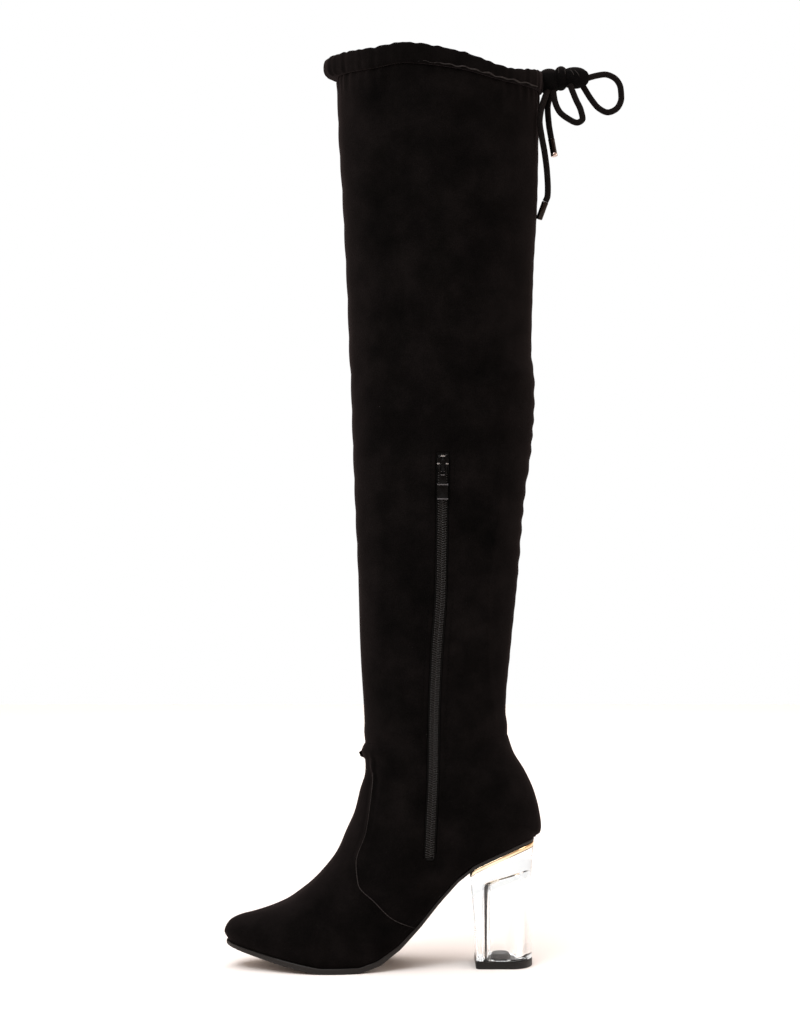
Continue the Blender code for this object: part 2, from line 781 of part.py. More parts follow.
def make_slot(cutters):
    """Cutter of the zip's slot: it goes through the inner wall alone."""
    height = np.linspace(ZIP_END, ZIP_TOP, SLOT_STATIONS)
    x = zip_place(height)
    half = SLOT_WIDTH / 2
    outline = np.vstack([np.column_stack([x - half, height]), np.column_stack([x + half, height])[::-1]])
    count = len(outline)
    near = np.column_stack([outline[:, 0], np.full(count, -SLOT_NEAR * SHAFT_WIDTH), outline[:, 1]])
    far = np.column_stack([outline[:, 0], np.full(count, -SLOT_FAR * SHAFT_WIDTH), outline[:, 1]])
    faces = [tuple(range(count)), tuple(range(2 * count - 1, count - 1, -1))]
    for i in range(count):
        k = (i + 1) % count
        faces.append((i, i + count, k + count, k))
    return mesh_from("zip_slot", np.vstack([near, far]), faces, cutters)


def box_at(name, size, centre, owner, finish=None):
    """Box of three sizes about a centre, in millimetres."""
    data = bpy.data.meshes.new(name)
    shape = bmesh.new()
    bmesh.ops.create_cube(shape, size=1.0)
    bmesh.ops.scale(shape, vec=Vector(size) * MM, verts=shape.verts)
    bmesh.ops.translate(shape, vec=Vector(centre) * MM, verts=shape.verts)
    shape.to_mesh(data)
    shape.free()
    return add_object(name, data, owner, finish)


def tube(name, points, width, owner, finish, sides=2):
    """Round cord along its points, with flat ends."""
    data = bpy.data.curves.new(name, "CURVE")
    data.dimensions = "3D"
    data.bevel_depth = 0.5 * width * MM
    data.bevel_resolution = sides
    data.use_fill_caps = True
    line = data.splines.new("POLY")
    line.points.add(len(points) - 1)
    for spot, point in zip(line.points, points):
        spot.co = (*(np.asarray(point, float) * MM), 1.0)
    return add_object(name, data, owner, finish)


def solid_from_curve(curve, owner):
    """Mesh object with the curve's own shape and place, its caps welded on. The curve is removed."""
    bpy.context.view_layer.update()
    graph = bpy.context.evaluated_depsgraph_get()
    data = bpy.data.meshes.new_from_object(curve.evaluated_get(graph))
    shape = bmesh.new()
    shape.from_mesh(data)
    bmesh.ops.remove_doubles(shape, verts=shape.verts, dist=1e-6)
    bmesh.ops.recalc_face_normals(shape, faces=shape.faces)
    shape.to_mesh(data)
    shape.free()
    name = curve.name
    place = curve.matrix_world.copy()
    bpy.data.objects.remove(curve)
    made = add_object(name, data, owner)
    made.matrix_world = place
    return made


def hinge_depth():
    """How far the pull's axis stands out from the skin."""
    return CHAIN_PROUD + GAP + SLIDER_PLATE + BRIDGE_RISE / 2


def make_slider(owner, cutters, finish):
    """Slider astride the chain, with its wire bridge. Its own axes are across, inward and up."""
    here, across, up, outward = zip_frame(np.array([SLIDER_HEIGHT]))
    turn = Matrix([Vector(across[0]), Vector(-outward[0]), Vector(up[0])]).transposed()
    place = Matrix.Translation(Vector(here[0]) * MM) @ turn.to_4x4()
    skin = -(CHAIN_PROUD + GAP)
    plate_y = skin - SLIDER_PLATE / 2
    flange = SLIDER_WIDTH / 2 - CHAIN_WIDTH / 2 - GAP
    body = box_at(
        "zip_slider", (SLIDER_WIDTH, SLIDER_PLATE, SLIDER_LENGTH), (0.0, plate_y, 0.0), owner, finish
    )
    body.matrix_world = place
    for side in (-1.0, 1.0):
        x = side * (SLIDER_WIDTH - flange) / 2
        wing = box_at(
            "slider_wing",
            (flange, WING_DEPTH, SLIDER_LENGTH - WING_INSET),
            (x, skin + WING_DEPTH / 2 - SLIDER_PLATE / 4, 0.0),
            cutters,
        )
        wing.matrix_world = place
        boolean(body, wing, "UNION")
    rise = BRIDGE_RISE + BRIDGE_WIRE / 2
    foot = SLIDER_LENGTH / 2 - BRIDGE_INSET
    route = [
        (0.0, skin - SLIDER_PLATE / 2, foot),
        (0.0, skin - SLIDER_PLATE - 0.5 * rise, foot - BRIDGE_LEAN),
        (0.0, skin - SLIDER_PLATE - rise, foot - BRIDGE_WIRE),
        (0.0, skin - SLIDER_PLATE - rise, 0.0),
    ]
    route += [(x, y, -z) for x, y, z in route[-2::-1]]
    bridge = tube("slider_bridge", path_through(route, 15), BRIDGE_WIRE, cutters, None, 1)
    bridge.matrix_world = place
    boolean(body, solid_from_curve(bridge, cutters), "UNION")
    return turn, here[0], outward[0]


def make_pull(owner, cutters, finish, turn, here, outward):
    """Pull tab with its eye round the bridge. Its origin is on its hinge axis."""
    pivot = here + outward * hinge_depth()
    bar = PULL_THICK
    neck = PULL_NECK / 2
    wide = PULL_WIDTH / 2
    shoulder = -PULL_SHOULDER + NECK_SLANT / 2
    outline = (
        (-neck, bar / 2),
        (neck, bar / 2),
        (neck, shoulder),
        (wide, shoulder - NECK_SLANT),
        (wide, bar / 2 - PULL_LENGTH),
        (-wide, bar / 2 - PULL_LENGTH),
        (-wide, shoulder - NECK_SLANT),
        (-neck, shoulder),
    )
    count = len(outline)
    points = [(x, y, z) for y in (-bar / 2, bar / 2) for x, z in outline]
    faces = [tuple(range(count)), tuple(range(2 * count - 1, count - 1, -1))]
    faces += [(i, i + count, (i + 1) % count + count, (i + 1) % count) for i in range(count)]
    pull = mesh_from("zip_pull", points, faces, owner, finish)
    pull.matrix_world = Matrix.Translation(Vector(pivot) * MM) @ turn.to_4x4()
    eye = box_at(
        "pull_eye", (EYE_WIDTH, 3 * bar, PULL_EYE - bar / 2), (0.0, 0.0, -(PULL_EYE + bar / 2) / 2), cutters
    )
    eye.matrix_world = pull.matrix_world
    boolean(pull, eye)


def make_casing(owner, finish):
    """Rolled casing of the drawstring: a full ring on the shaft's top edge, with a bump in front."""
    share, inner = round_shares()
    front, back = shaft_row(1.0)
    x = front[0] + (back[0] - front[0]) * share
    z = front[1] + (back[1] - front[1]) * share + collar_rise(share, 1.0)
    loop = skin_points(x, z, inner)
    tangent = np.roll(loop, -1, axis=0)[:, :2] - np.roll(loop, 1, axis=0)[:, :2]
    tangent /= np.linalg.norm(tangent, axis=1)[:, None]
    outward = np.column_stack([tangent[:, 1], -tangent[:, 0]])
    outward *= np.sign((outward * (loop[:, :2] - [SHAFT_AXIS, 0.0])).sum(axis=1))[:, None]
    from_front = np.linalg.norm(loop[:, :2] - loop[0, :2], axis=1)
    bump = CASING_BUMP * np.exp(-((from_front / BUMP_REACH) ** 2))
    high = CASING_HEIGHT * through(COLLAR_LINE, share, 2)
    rows = []
    for step in range(CASING_TURNS):
        angle = 2 * math.pi * step / CASING_TURNS
        out = math.copysign(abs(math.cos(angle)) ** CASING_ROUND_OUT, math.cos(angle))
        lift = math.copysign(abs(math.sin(angle)) ** CASING_ROUND_UP, math.sin(angle))
        reach = (CASING_THICK / 2) * out + (CASING_THICK / 2 - WALL) + bump * max(out, 0.0)
        point = np.column_stack([
            loop[:, :2] + outward * np.reshape(reach, (-1, 1)),
            loop[:, 2] + GAP + high / 2 * (1 + lift),
        ])
        rows.append(point)
    rows = np.array(rows)
    columns = rows.shape[1]
    faces = []
    for i in range(CASING_TURNS):
        for j in range(columns):
            a, b = i * columns, (i + 1) % CASING_TURNS * columns
            k = (j + 1) % columns
            faces.append((a + j, a + k, b + k, b + j))
    return mesh_from("collar_casing", rows.reshape(-1, 3), faces, owner, finish, CASING_FOLD_ANGLE)


# The bow. Each route is a list of chosen points in millimetres.
KNOT_LUMPS = (
    ((35.1, 0.0, 643.8), (6.0, 8.5, 9.6)),
    ((41.5, 0.0, 646.6), (4.2, 9.0, 9.0)),
    ((52.5, 0.0, 646.8), (9.6, 8.0, 7.9)),
)
LOOP_UPPER = (
    (62.5, 1.5, 647.25),
    (67.7, 3.0, 648.9),
    (74.5, 4.5, 650.1),
    (81.9, 6.0, 647.4),
    (86.0, 7.0, 640.6),
    (86.6, 7.5, 633.4),
    (83.4, 7.0, 625.8),
    (76.4, 6.0, 622.6),
    (70.1, 5.0, 625.3),
    (64.4, 3.5, 631.5),
    (58.5, 1.9, 640.4),
)
LOOP_LOWER = (
    (36.2, -4.1, 635.1),
    (36.9, -7.0, 629.2),
    (39.8, -9.5, 621.3),
    (46.4, -11.0, 615.3),
    (52.9, -11.5, 612.4),
    (56.9, -11.0, 615.3),
    (55.6, -10.0, 621.8),
    (52.2, -8.0, 629.8),
    (48.85, -4.75, 639.25),
)
END_SHORT = (
    (33.9, 1.4, 633.9),
    (32.2, 0.6, 625.0),
    (33.0, -0.5, 613.0),
    (34.6, -1.5, 602.6),
)
END_LONG = (
    (31.7, -4.3, 636.05),
    (29.2, -10.0, 630.0),
    (26.6, -16.2, 621.5),
    (25.3, -18.5, 612.0),
    (26.7, -18.0, 602.0),
    (29.0, -16.5, 590.0),
    (30.9, -15.0, 575.0),
    (31.5, -14.0, 564.0),
    (31.3, -13.8, 559.0),
    (29.8, -13.5, 555.0),
)
CORDS = (
    ("bow_loop_upper", LOOP_UPPER),
    ("bow_loop_lower", LOOP_LOWER),
    ("bow_end_short", END_SHORT),
    ("bow_end_long", END_LONG),
)


def make_knot(owner, cutters, finish):
    """Knot of three lumps joined into one."""
    solids = []
    for index, (centre, radii) in enumerate(KNOT_LUMPS):
        data = bpy.data.meshes.new("bow_knot" if index == 0 else "knot_lump")
        shape = bmesh.new()
        bmesh.ops.create_uvsphere(shape, u_segments=12, v_segments=8, radius=1.0)
        bmesh.ops.scale(shape, vec=Vector(radii) * MM, verts=shape.verts)
        bmesh.ops.translate(shape, vec=Vector(centre) * MM, verts=shape.verts)
        shape.to_mesh(data)
        shape.free()
        data.shade_smooth()
        first = index == 0
        solids.append(add_object(data.name, data, owner if first else cutters, finish if first else None))
    for lump in solids[1:]:
        boolean(solids[0], lump, "UNION")


def make_aglet(name, route, owner, finish):
    """Metal end of a cord, in line with the cord's last stretch."""
    end = Vector(route[-1])
    direction = (end - Vector(route[-2])).normalized()
    turn = direction.to_track_quat("Z", "Y").to_matrix().to_4x4()
    centre = end + direction * (GAP + AGLET_LENGTH / 2)
    data = bpy.data.meshes.new(name)
    shape = bmesh.new()
    bmesh.ops.create_cone(
        shape, cap_ends=True, segments=12, radius1=AGLET_WIDTH / 2 * MM, radius2=AGLET_WIDTH / 2 * MM,
        depth=AGLET_LENGTH * MM,
    )
    shape.to_mesh(data)
    shape.free()
    data.shade_smooth()
    data.set_sharp_from_angle(angle=math.radians(AGLET_FOLD_ANGLE))
    made = add_object(name, data, owner, finish)
    made.matrix_world = Matrix.Translation(centre * MM) @ turn
    edge = made.modifiers.new("edge", "BEVEL")
    edge.width = AGLET_EDGE * MM


def make_bow(owner, cutters, finish, metal):
    make_knot(owner, cutters, finish)
    for name, route in CORDS:
        length = np.linalg.norm(np.diff(route, axis=0), axis=1).sum()
        path = path_through(route, 2 + int(length / CORD_WIDTH))
        tube(name, path, CORD_WIDTH, owner, finish)
        if "end" in name:
            make_aglet(name.replace("bow_end", "aglet"), path, owner, metal)


def main():
    for item in list(bpy.data.objects):
        bpy.data.objects.remove(item)
    parts = collection("thigh_high_boot")
    cutters = collection("cutters")
    velvet = material("black_velvet", (0.004, 0.0035, 0.0035), 0.95)
    rubber = material("black_rubber", (0.010, 0.010, 0.010), 0.6)
    lining = material("insole_fabric", (0.03, 0.028, 0.026), 0.85)
    gold = material("gold_metal", (0.83, 0.60, 0.25), 0.25, 1.0)
    clear = material("clear_acrylic", (0.92, 0.93, 0.93), 0.05)
    nylon = material("black_nylon", (0.012, 0.012, 0.012), 0.4)
    gunmetal = material("gunmetal", (0.06, 0.06, 0.065), 0.3, 1.0)
    dark_metal = material("dark_rose_metal", (0.12, 0.07, 0.06), 0.25, 1.0)
    cord = material("black_cord", (0.006, 0.006, 0.006), 0.8)

    make_outsole(parts, rubber)
    make_insole(parts, lining)
    upper = open_skin("upper", foot_rows(FOOT_ROWS, GAP), parts, velvet)
    shaft = open_skin("shaft", shaft_rows(SHAFT_ROWS), parts, velvet)
    slot = make_slot(cutters)
    boolean(upper, slot)
    boolean(shaft, slot)
    make_casing(parts, velvet)
    make_heel(parts, cutters, {"gold": gold, "clear": clear, "rubber": rubber})
    tape_out = CHAIN_THICK - CHAIN_PROUD + GAP
    inside = SLOT_WIDTH - 2 * GAP
    zip_strip(
        "zip_tape", inside, tape_out + TAPE_THICK, tape_out, ZIP_END + GAP, ZIP_TOP - GAP, parts, nylon
    )
    zip_strip(
        "zip_chain", CHAIN_WIDTH, CHAIN_THICK - CHAIN_PROUD, -CHAIN_PROUD,
        ZIP_END + CHAIN_SHORT, ZIP_TOP - CHAIN_SHORT, parts, nylon,
    )
    turn, here, outward = make_slider(parts, cutters, gunmetal)
    make_pull(parts, cutters, gunmetal, turn, here, outward)
    make_bow(parts, cutters, cord, dark_metal)
    for helper in cutters.objects:
        helper.hide_render = True
        helper.display_type = "WIRE"


main()
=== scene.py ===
# %% [markdown]
# # A thigh high boot in black velvet on a clear heel
#
# This lesson dresses a packed boot. The frame gives the boot's bodies and its plain solids, and each cell
# below adds one piece or one finish around them. Every shape is a function of two parameters, worked out
# as whole numpy arrays. The toe points to -X, the inner side with the zip faces -Y, and +Z is up.

import json
import math

import bpy
import numpy as np
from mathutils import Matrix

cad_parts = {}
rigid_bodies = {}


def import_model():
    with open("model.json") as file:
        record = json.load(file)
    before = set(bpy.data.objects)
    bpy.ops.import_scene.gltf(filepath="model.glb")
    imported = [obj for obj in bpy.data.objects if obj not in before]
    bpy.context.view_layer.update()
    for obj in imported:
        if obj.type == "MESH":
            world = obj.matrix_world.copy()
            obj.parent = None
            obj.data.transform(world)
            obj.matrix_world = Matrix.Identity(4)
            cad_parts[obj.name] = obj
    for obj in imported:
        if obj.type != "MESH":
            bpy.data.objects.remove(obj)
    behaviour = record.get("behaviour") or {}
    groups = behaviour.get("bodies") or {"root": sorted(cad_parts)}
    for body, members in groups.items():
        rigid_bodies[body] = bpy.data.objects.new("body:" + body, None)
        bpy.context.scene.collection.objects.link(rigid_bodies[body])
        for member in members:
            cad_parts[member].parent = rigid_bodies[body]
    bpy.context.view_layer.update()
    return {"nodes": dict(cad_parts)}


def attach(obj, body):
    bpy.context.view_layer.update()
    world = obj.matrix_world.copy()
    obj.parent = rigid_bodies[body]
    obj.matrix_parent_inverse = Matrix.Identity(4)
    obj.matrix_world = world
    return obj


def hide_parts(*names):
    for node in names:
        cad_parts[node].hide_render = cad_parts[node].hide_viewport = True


for item in list(bpy.data.objects):
    bpy.data.objects.remove(item)
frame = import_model()
MM = 0.001

# %% [markdown]
# ## The camera
#
# The photo was taken level, square on to the inner side. The rise of the heel tip's corners and of the
# ball's near edge gives the height and the distance together, so the camera needs no fitting by eye. A
# portrait picture takes the sensor's width along its height, which fixes the lens.

# %% Camera
CAMERA_PLACE = (-0.0756, -1.83, 0.334)
CAMERA_LENS = 89.1


def add_camera(place, lens):
    """Level camera at a place, looking along +Y."""
    data = bpy.data.cameras.new("camera")
    data.lens = lens
    made = bpy.data.objects.new("camera", data)
    made.location = place
    made.rotation_euler = (math.pi / 2, 0, 0)
    bpy.context.scene.collection.objects.link(made)
    bpy.context.scene.camera = made


add_camera(CAMERA_PLACE, CAMERA_LENS)
print("camera at", CAMERA_PLACE, "with a lens of", CAMERA_LENS, "mm")

# %% [markdown]
# ## Helpers for surfaces
#
# A surface here is a grid of points. Its faces follow from the counts of rows and columns alone. A grid
# that closes on itself is a tube, and a loft is a tube with a pole in the middle of each end, so it is
# closed and has an inside and an outside.

# %% Grids, lofts and pieces


def lattice(rows, columns, closed):
    """Quads of a grid: corner, next column, both, next row. A closed grid joins each row to itself."""
    wide = columns if closed else columns - 1
    i, j = np.meshgrid(np.arange(rows - 1), np.arange(wide), indexing="ij")
    k = (j + 1) % columns
    quads = [i * columns + j, i * columns + k, (i + 1) * columns + k, (i + 1) * columns + j]
    return np.stack(quads, axis=-1).reshape(-1, 4)


def volume_sign(points, quads):
    """Sign of the sum of a . (b x c) over the triangles: positive where the faces point outwards."""
    middle = points.mean(axis=0)
    a, b, c, d = (points[quads[:, n]] - middle for n in range(4))
    total = (a * np.cross(b, c)).sum() + (a * np.cross(c, d)).sum()
    return 1 if total > 0 else -1


def loft(loops):
    """Closed surface through a stack of loops, each end gathered to the middle of its own loop."""
    rows, columns = loops.shape[:2]
    points = np.concatenate([loops.reshape(-1, 3), loops[:1].mean(axis=1), loops[-1:].mean(axis=1)])
    quads = lattice(rows, columns, True)
    j = np.arange(columns)
    k = (j + 1) % columns
    low = np.stack([np.full(columns, rows * columns), k, j], axis=-1)
    last_row = (rows - 1) * columns
    high = np.stack([np.full(columns, rows * columns + 1), j + last_row, k + last_row], axis=-1)
    tris = np.concatenate([low, high])
    if volume_sign(points, quads) < 0:
        quads, tris = quads[:, ::-1], tris[:, ::-1]
    return points, quads.tolist() + tris.tolist()


print("a closed grid of 3 rows and 4 columns has", len(lattice(3, 4, True)), "faces")

# %% Joining shapes and adding pieces


def join(shapes):
    """Several (points, faces) as one."""
    points, faces, start = [], [], 0
    for some, sides in shapes:
        points.append(some)
        faces += [[index + start for index in side] for side in sides]
        start += len(some)
    return np.concatenate(points), faces


def add_piece(name, shape, finish, stands_for=(), body="boot", sharp=40.0, wall=None):
    """A mesh piece from points in millimetres, riding on its body and standing for its CAD nodes."""
    points, faces = shape
    mesh = bpy.data.meshes.new(name)
    mesh.from_pydata((np.asarray(points) * MM).tolist(), [], faces)
    mesh.materials.append(finish)
    made = bpy.data.objects.new(name, mesh)
    bpy.context.scene.collection.objects.link(made)
    if wall:
        thick = made.modifiers.new("wall", "SOLIDIFY")
        thick.thickness = wall * MM
        thick.offset = -1.0
        bpy.context.view_layer.update()
        solid = bpy.data.meshes.new_from_object(made.evaluated_get(bpy.context.evaluated_depsgraph_get()))
        made.modifiers.clear()
        made.data = solid
        mesh = solid
    mesh.shade_smooth()
    mesh.set_sharp_from_angle(angle=math.radians(sharp))
    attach(made, body)
    if stands_for:
        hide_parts(*stands_for)
    print(name, "has", len(mesh.polygons), "faces")
    return made


# %% [markdown]
# ## Colours and nodes
#
# A picture's colours are sRGB numbers, and the renderer works in linear light, so one function turns a
# hex value to linear. One more adds a node with its settings and links, and every material is built
# from it.

# %% Colour and node helpers


def srgb(code):
    """Linear RGBA of an sRGB hex value: under 0.04045 divide by 12.92, else ((c + 0.055) / 1.055) ^ 2.4."""
    values = np.array([int(code[i : i + 2], 16) for i in (0, 2, 4)]) / 255.0
    linear = np.where(values <= 0.04045, values / 12.92, ((values + 0.055) / 1.055) ** 2.4)
    return (*linear.tolist(), 1.0)


def plug(tree, made, **inputs):
    """Fills a node's sockets by name, or by number as i0. An output is linked, any other value is set."""
    for key, value in inputs.items():
        socket = made.inputs[int(key[1:]) if key[0] == "i" and key[1:].isdigit() else key.replace("_", " ")]
        if isinstance(value, bpy.types.NodeSocket):
            tree.links.new(value, socket)
        else:
            socket.default_value = value


def node(tree, kind, settings=None, stops=(), **inputs):
    """Adds a node with its own settings, a ramp's stops, and its inputs."""
    made = tree.nodes.new(kind)
    for key, value in (settings or {}).items():
        setattr(made, key, value)
    if stops:
        elements = made.color_ramp.elements
        elements.remove(elements[1])
        elements[0].position, elements[0].color = stops[0]
        for position, colour in stops[1:]:
            elements.new(position).color = colour
    plug(tree, made, **inputs)
    return made


NOISE, RAMP, MATH = "ShaderNodeTexNoise", "ShaderNodeValToRGB", "ShaderNodeMath"
MIX, BUMP, RANGE = "ShaderNodeMix", "ShaderNodeBump", "ShaderNodeMapRange"
TIMES, TIMES_PLUS, LARGER = ({"operation": name} for name in ("MULTIPLY", "MULTIPLY_ADD", "MAXIMUM"))
print("mid grey, sRGB 808080, is", round(srgb("808080")[0], 3), "in linear light")

# %% Starting a material


def new_material(name):
    """An empty node material: its tree, its Principled shader, and its Object coordinates."""
    made = bpy.data.materials.new(name)
    made.use_nodes = True
    tree = made.node_tree
    return made, tree, tree.nodes["Principled BSDF"], tree.nodes.new("ShaderNodeTexCoord").outputs["Object"]


def grey(value):
    """A linear grey, for ramps that carry a share and not a colour."""
    return (value, value, value, 1.0)


def speckled(name, scale, detail, low, high, **values):
    """A finish between two colours, each at its place on a ramp of fine noise. Gives the noise back too."""
    made, tree, shader, place = new_material(name)
    grain = node(tree, NOISE, Vector=place, Scale=scale, Detail=detail).outputs["Fac"]
    stops = [(at, srgb(code)) for at, code in (low, high)]
    plug(tree, shader, Base_Color=node(tree, RAMP, stops=stops, i0=grain).outputs["Color"], **values)
    return made, tree, shader, grain


# %% [markdown]
# ## Stretch velvet
#
# The boot's cloth is a polyester stretch velvet: a knitted ground with a cut pile about 0.6 mm high. Its
# pile swallows light seen square on, and shows a faint warm sheen where the eye grazes it, so the colour
# is almost black. The rims get the shader's sheen and a painted sheen: the colour itself greys towards
# them. Brushing lays the pile over in soft patches, which are broad noise in the colour. The pile itself
# is finer than a pixel of the render, so its grain is drawn about twice too coarse.

# %% Velvet
NAP_GRAIN, NAP_PATCH, GRAIN_SHARE, PILE_DEPTH = 1.1, 26.0, 0.45, 0.35
NAP_STOPS = [(0.42, srgb("040404")), (0.70, srgb("090808")), (1.0, srgb("100e0e"))]
# painted sheen: how far the colour is pulled towards a warm grey as the view grazes the cloth
PAINTED_SHEEN_STOPS = [(0.15, grey(0.0)), (0.60, grey(0.07)), (0.82, grey(0.26)), (1.0, grey(0.6))]


def make_velvet():
    """Almost black square on, with a painted sheen greyer towards the rims by Facing, soft patches and a fine
    grain.
    """
    made, tree, shader, place = new_material("stretch velvet")
    patch, grain = (
        node(tree, NOISE, Vector=place, Scale=1 / (size * MM), Detail=detail, Roughness=rough).outputs["Fac"]
        for size, detail, rough in ((NAP_PATCH, 3.0, 0.6), (NAP_GRAIN, 2.0, 0.7))
    )
    nap = node(tree, MATH, TIMES_PLUS, i0=grain, i1=GRAIN_SHARE, i2=patch).outputs[0]
    colour = node(tree, RAMP, stops=NAP_STOPS, i0=nap).outputs["Color"]
    facing = node(tree, "ShaderNodeLayerWeight", Blend=0.5).outputs["Facing"]
    rim = node(tree, RAMP, stops=PAINTED_SHEEN_STOPS, i0=facing).outputs["Color"]
    # painted sheen: the colour mixes towards grey 3a3436 at the rims, on top of the shader's own sheen
    shown = node(tree, MIX, {"data_type": "RGBA"}, i0=rim, i6=colour, i7=srgb("3a3436")).outputs[2]
    pile = node(tree, BUMP, Strength=0.5, Distance=PILE_DEPTH * MM, Height=grain).outputs[0]
    plug(tree, shader, Base_Color=shown, Normal=pile, Roughness=0.95, Specular_IOR_Level=0.01)
    plug(tree, shader, Sheen_Weight=0.012, Sheen_Roughness=0.45, Sheen_Tint=srgb("ffe6dc"))
    return made


velvet = make_velvet()
# the same velvet with its pile pressed flat, as along a seam: it shines a little more, and its lighter colour
# is a painted highlight
painted_highlight_nap = speckled(
    "pressed velvet edge with painted highlight", 900.0, 2.0, (0.3, "100e0e"), (0.75, "262221"), Roughness=0.7, Specular_IOR_Level=0.2
)[0]
print("velvet finishes:", velvet.name, "and", painted_highlight_nap.name)

# %% [markdown]
# ## Cord and its metal ends
#
# The drawstring is a round 4.5 mm cord with a braided polyester cover, matt and as black as the velvet.
# The braid's strands run both ways round it, so its pattern has to follow the cord: it reads the tube's
# own UV map, in which u is the length in cord widths and v goes once round.

# %% Cord finish
STRANDS_ROUND, BRAID_TURN, STRAND_DEPTH = 8, 2.2, 0.3


def make_cord_cover():
    """Braid: the larger of two sines of the turn round the cord, plus and minus the length along it."""
    made, tree, shader, _ = new_material("braided polyester cord")
    flat = node(tree, "ShaderNodeUVMap").outputs["UV"]
    along, turned = node(tree, "ShaderNodeSeparateXYZ", Vector=flat).outputs[:2]
    strands = []
    for turn in (BRAID_TURN, -BRAID_TURN):
        both = node(tree, MATH, TIMES_PLUS, i0=along, i1=turn, i2=turned).outputs[0]
        angle = node(tree, MATH, TIMES, i0=both, i1=2 * math.pi * STRANDS_ROUND).outputs[0]
        strands.append(node(tree, MATH, {"operation": "SINE"}, i0=angle).outputs[0])
    weave = node(tree, MATH, LARGER, i0=strands[0], i1=strands[1]).outputs[0]
    colour = node(tree, RAMP, stops=[(0.0, srgb("060505")), (1.0, srgb("151212"))], i0=weave).outputs["Color"]
    raised = node(tree, BUMP, Strength=0.6, Distance=STRAND_DEPTH * MM, Height=weave).outputs[0]
    plug(tree, shader, Base_Color=colour, Normal=raised, Roughness=0.8, Specular_IOR_Level=0.06)
    plug(tree, shader, Sheen_Weight=0.02, Sheen_Roughness=0.4, Sheen_Tint=srgb("ffdccb"))
    return made


cord_cover = make_cord_cover()
print(cord_cover.name, "has", STRANDS_ROUND, "strands round it each way")

# %% [markdown]
# ## Curves through chosen points
#
# The cords, the outlines and the zip all pass smoothly through a few chosen points. A monotone cubic
# never swings past them, so an outline keeps its flats and corners.

# %% Monotone curves


def through(table, x, column=1):
    """Monotone cubic through one column of a table: the slope at a row is the harmonic mean of its sides'."""
    rows = np.array(table, float)
    if rows[0, 0] > rows[-1, 0]:
        rows = rows[::-1]
    xs, ys = rows[:, 0], rows[:, column]
    step = np.diff(xs)
    slope = np.diff(ys) / step
    tangent = np.empty(len(xs))
    tangent[0], tangent[-1] = slope[0], slope[-1]
    product = slope[:-1] * slope[1:]
    total = slope[:-1] + slope[1:]
    tangent[1:-1] = np.where(product > 0, 2 * product / np.where(product > 0, total, 1.0), 0.0)
    x = np.clip(np.asarray(x, float), xs[0], xs[-1])
    i = np.clip(np.searchsorted(xs, x) - 1, 0, len(step) - 1)
    h = step[i]
    s = (x - xs[i]) / h
    return (
        ys[i] * (1 + 2 * s) * (1 - s) ** 2
        + tangent[i] * h * s * (1 - s) ** 2
        + ys[i + 1] * s * s * (3 - 2 * s)
        + tangent[i + 1] * h * s * s * (s - 1)
    )


def path_through(points, count):
    """Smooth path of so many points through given ones, spaced by its length."""
    points = np.asarray(points, float)
    knots = np.concatenate([[0.0], np.cumsum(np.linalg.norm(np.diff(points, axis=0), axis=1))])
    fine = np.linspace(0.0, knots[-1], 40 * len(points))
    dense = np.column_stack([through(np.column_stack([knots, column]), fine) for column in points.T])
    run = np.concatenate([[0.0], np.cumsum(np.linalg.norm(np.diff(dense, axis=0), axis=1))])
    wanted = np.linspace(0.0, run[-1], count)
    return np.column_stack([np.interp(wanted, run, column) for column in dense.T])


# %% A round profile along a line


def sweep(line, side, radius, turns=16, flat=1.0):
    """Loops of a round profile carried along a line: radius (side cos t + normal sin t) at each point."""
    ahead = np.gradient(line, axis=0)
    ahead /= np.linalg.norm(ahead, axis=1, keepdims=True)
    side = np.broadcast_to(side, line.shape)
    side = side - (side * ahead).sum(axis=1, keepdims=True) * ahead
    side = side / np.linalg.norm(side, axis=1, keepdims=True)
    up = np.cross(ahead, side)
    t = np.linspace(0, 2 * math.pi, turns, endpoint=False)[None, :, None]
    reach = np.reshape(np.broadcast_to(radius, len(line)), (-1, 1, 1))
    return line[:, None] + reach * (side[:, None] * np.cos(t) + flat * up[:, None] * np.sin(t))


print("halfway from 0 by 1 to 5 the curve is at", through(((0, 0), (1, 1), (2, 5)), [1.5]))


# %% [markdown]
# ## The drawstring's loops and ends
#
# The cord leaves the casing at the back of the thigh and is tied in a bow: one loop stands out behind,
# one hangs under the knot, and the two ends hang down against the shaft, each in a metal tip. The routes
# repeat the CAD's chosen points. A curve with a bevel would draw them too. A tube worked out here has its
# own UV map for the braid, and its length can be read from its centre line.

# %% Cords
CORD_WIDTH, TUCK = 4.5, 2.0
CORD_ROUTES = {
    "bow_loop_upper": (
        (62.5, 1.5, 647.25), (67.7, 3.0, 648.9), (74.5, 4.5, 650.1), (81.9, 6.0, 647.4), (86.0, 7.0, 640.6),
        (86.6, 7.5, 633.4), (83.4, 7.0, 625.8), (76.4, 6.0, 622.6), (70.1, 5.0, 625.3), (64.4, 3.5, 631.5),
        (58.5, 1.9, 640.4),
    ),
    "bow_loop_lower": (
        (36.2, -4.1, 635.1), (36.9, -7.0, 629.2), (39.8, -9.5, 621.3), (46.4, -11.0, 615.3),
        (52.9, -11.5, 612.4), (56.9, -11.0, 615.3), (55.6, -10.0, 621.8), (52.2, -8.0, 629.8),
        (48.85, -4.75, 639.25),
    ),
    "bow_end_short": ((33.9, 1.4, 633.9), (32.2, 0.6, 625.0), (33.0, -0.5, 613.0), (34.6, -1.5, 602.6)),
    "bow_end_long": (
        (31.7, -4.3, 636.05), (29.2, -10.0, 630.0), (26.6, -16.2, 621.5), (25.3, -18.5, 612.0),
        (26.7, -18.0, 602.0), (29.0, -16.5, 590.0), (30.9, -15.0, 575.0), (31.5, -14.0, 564.0),
        (31.3, -13.8, 559.0), (29.8, -13.5, 555.0),
    ),
}


# %% The cords' tubes


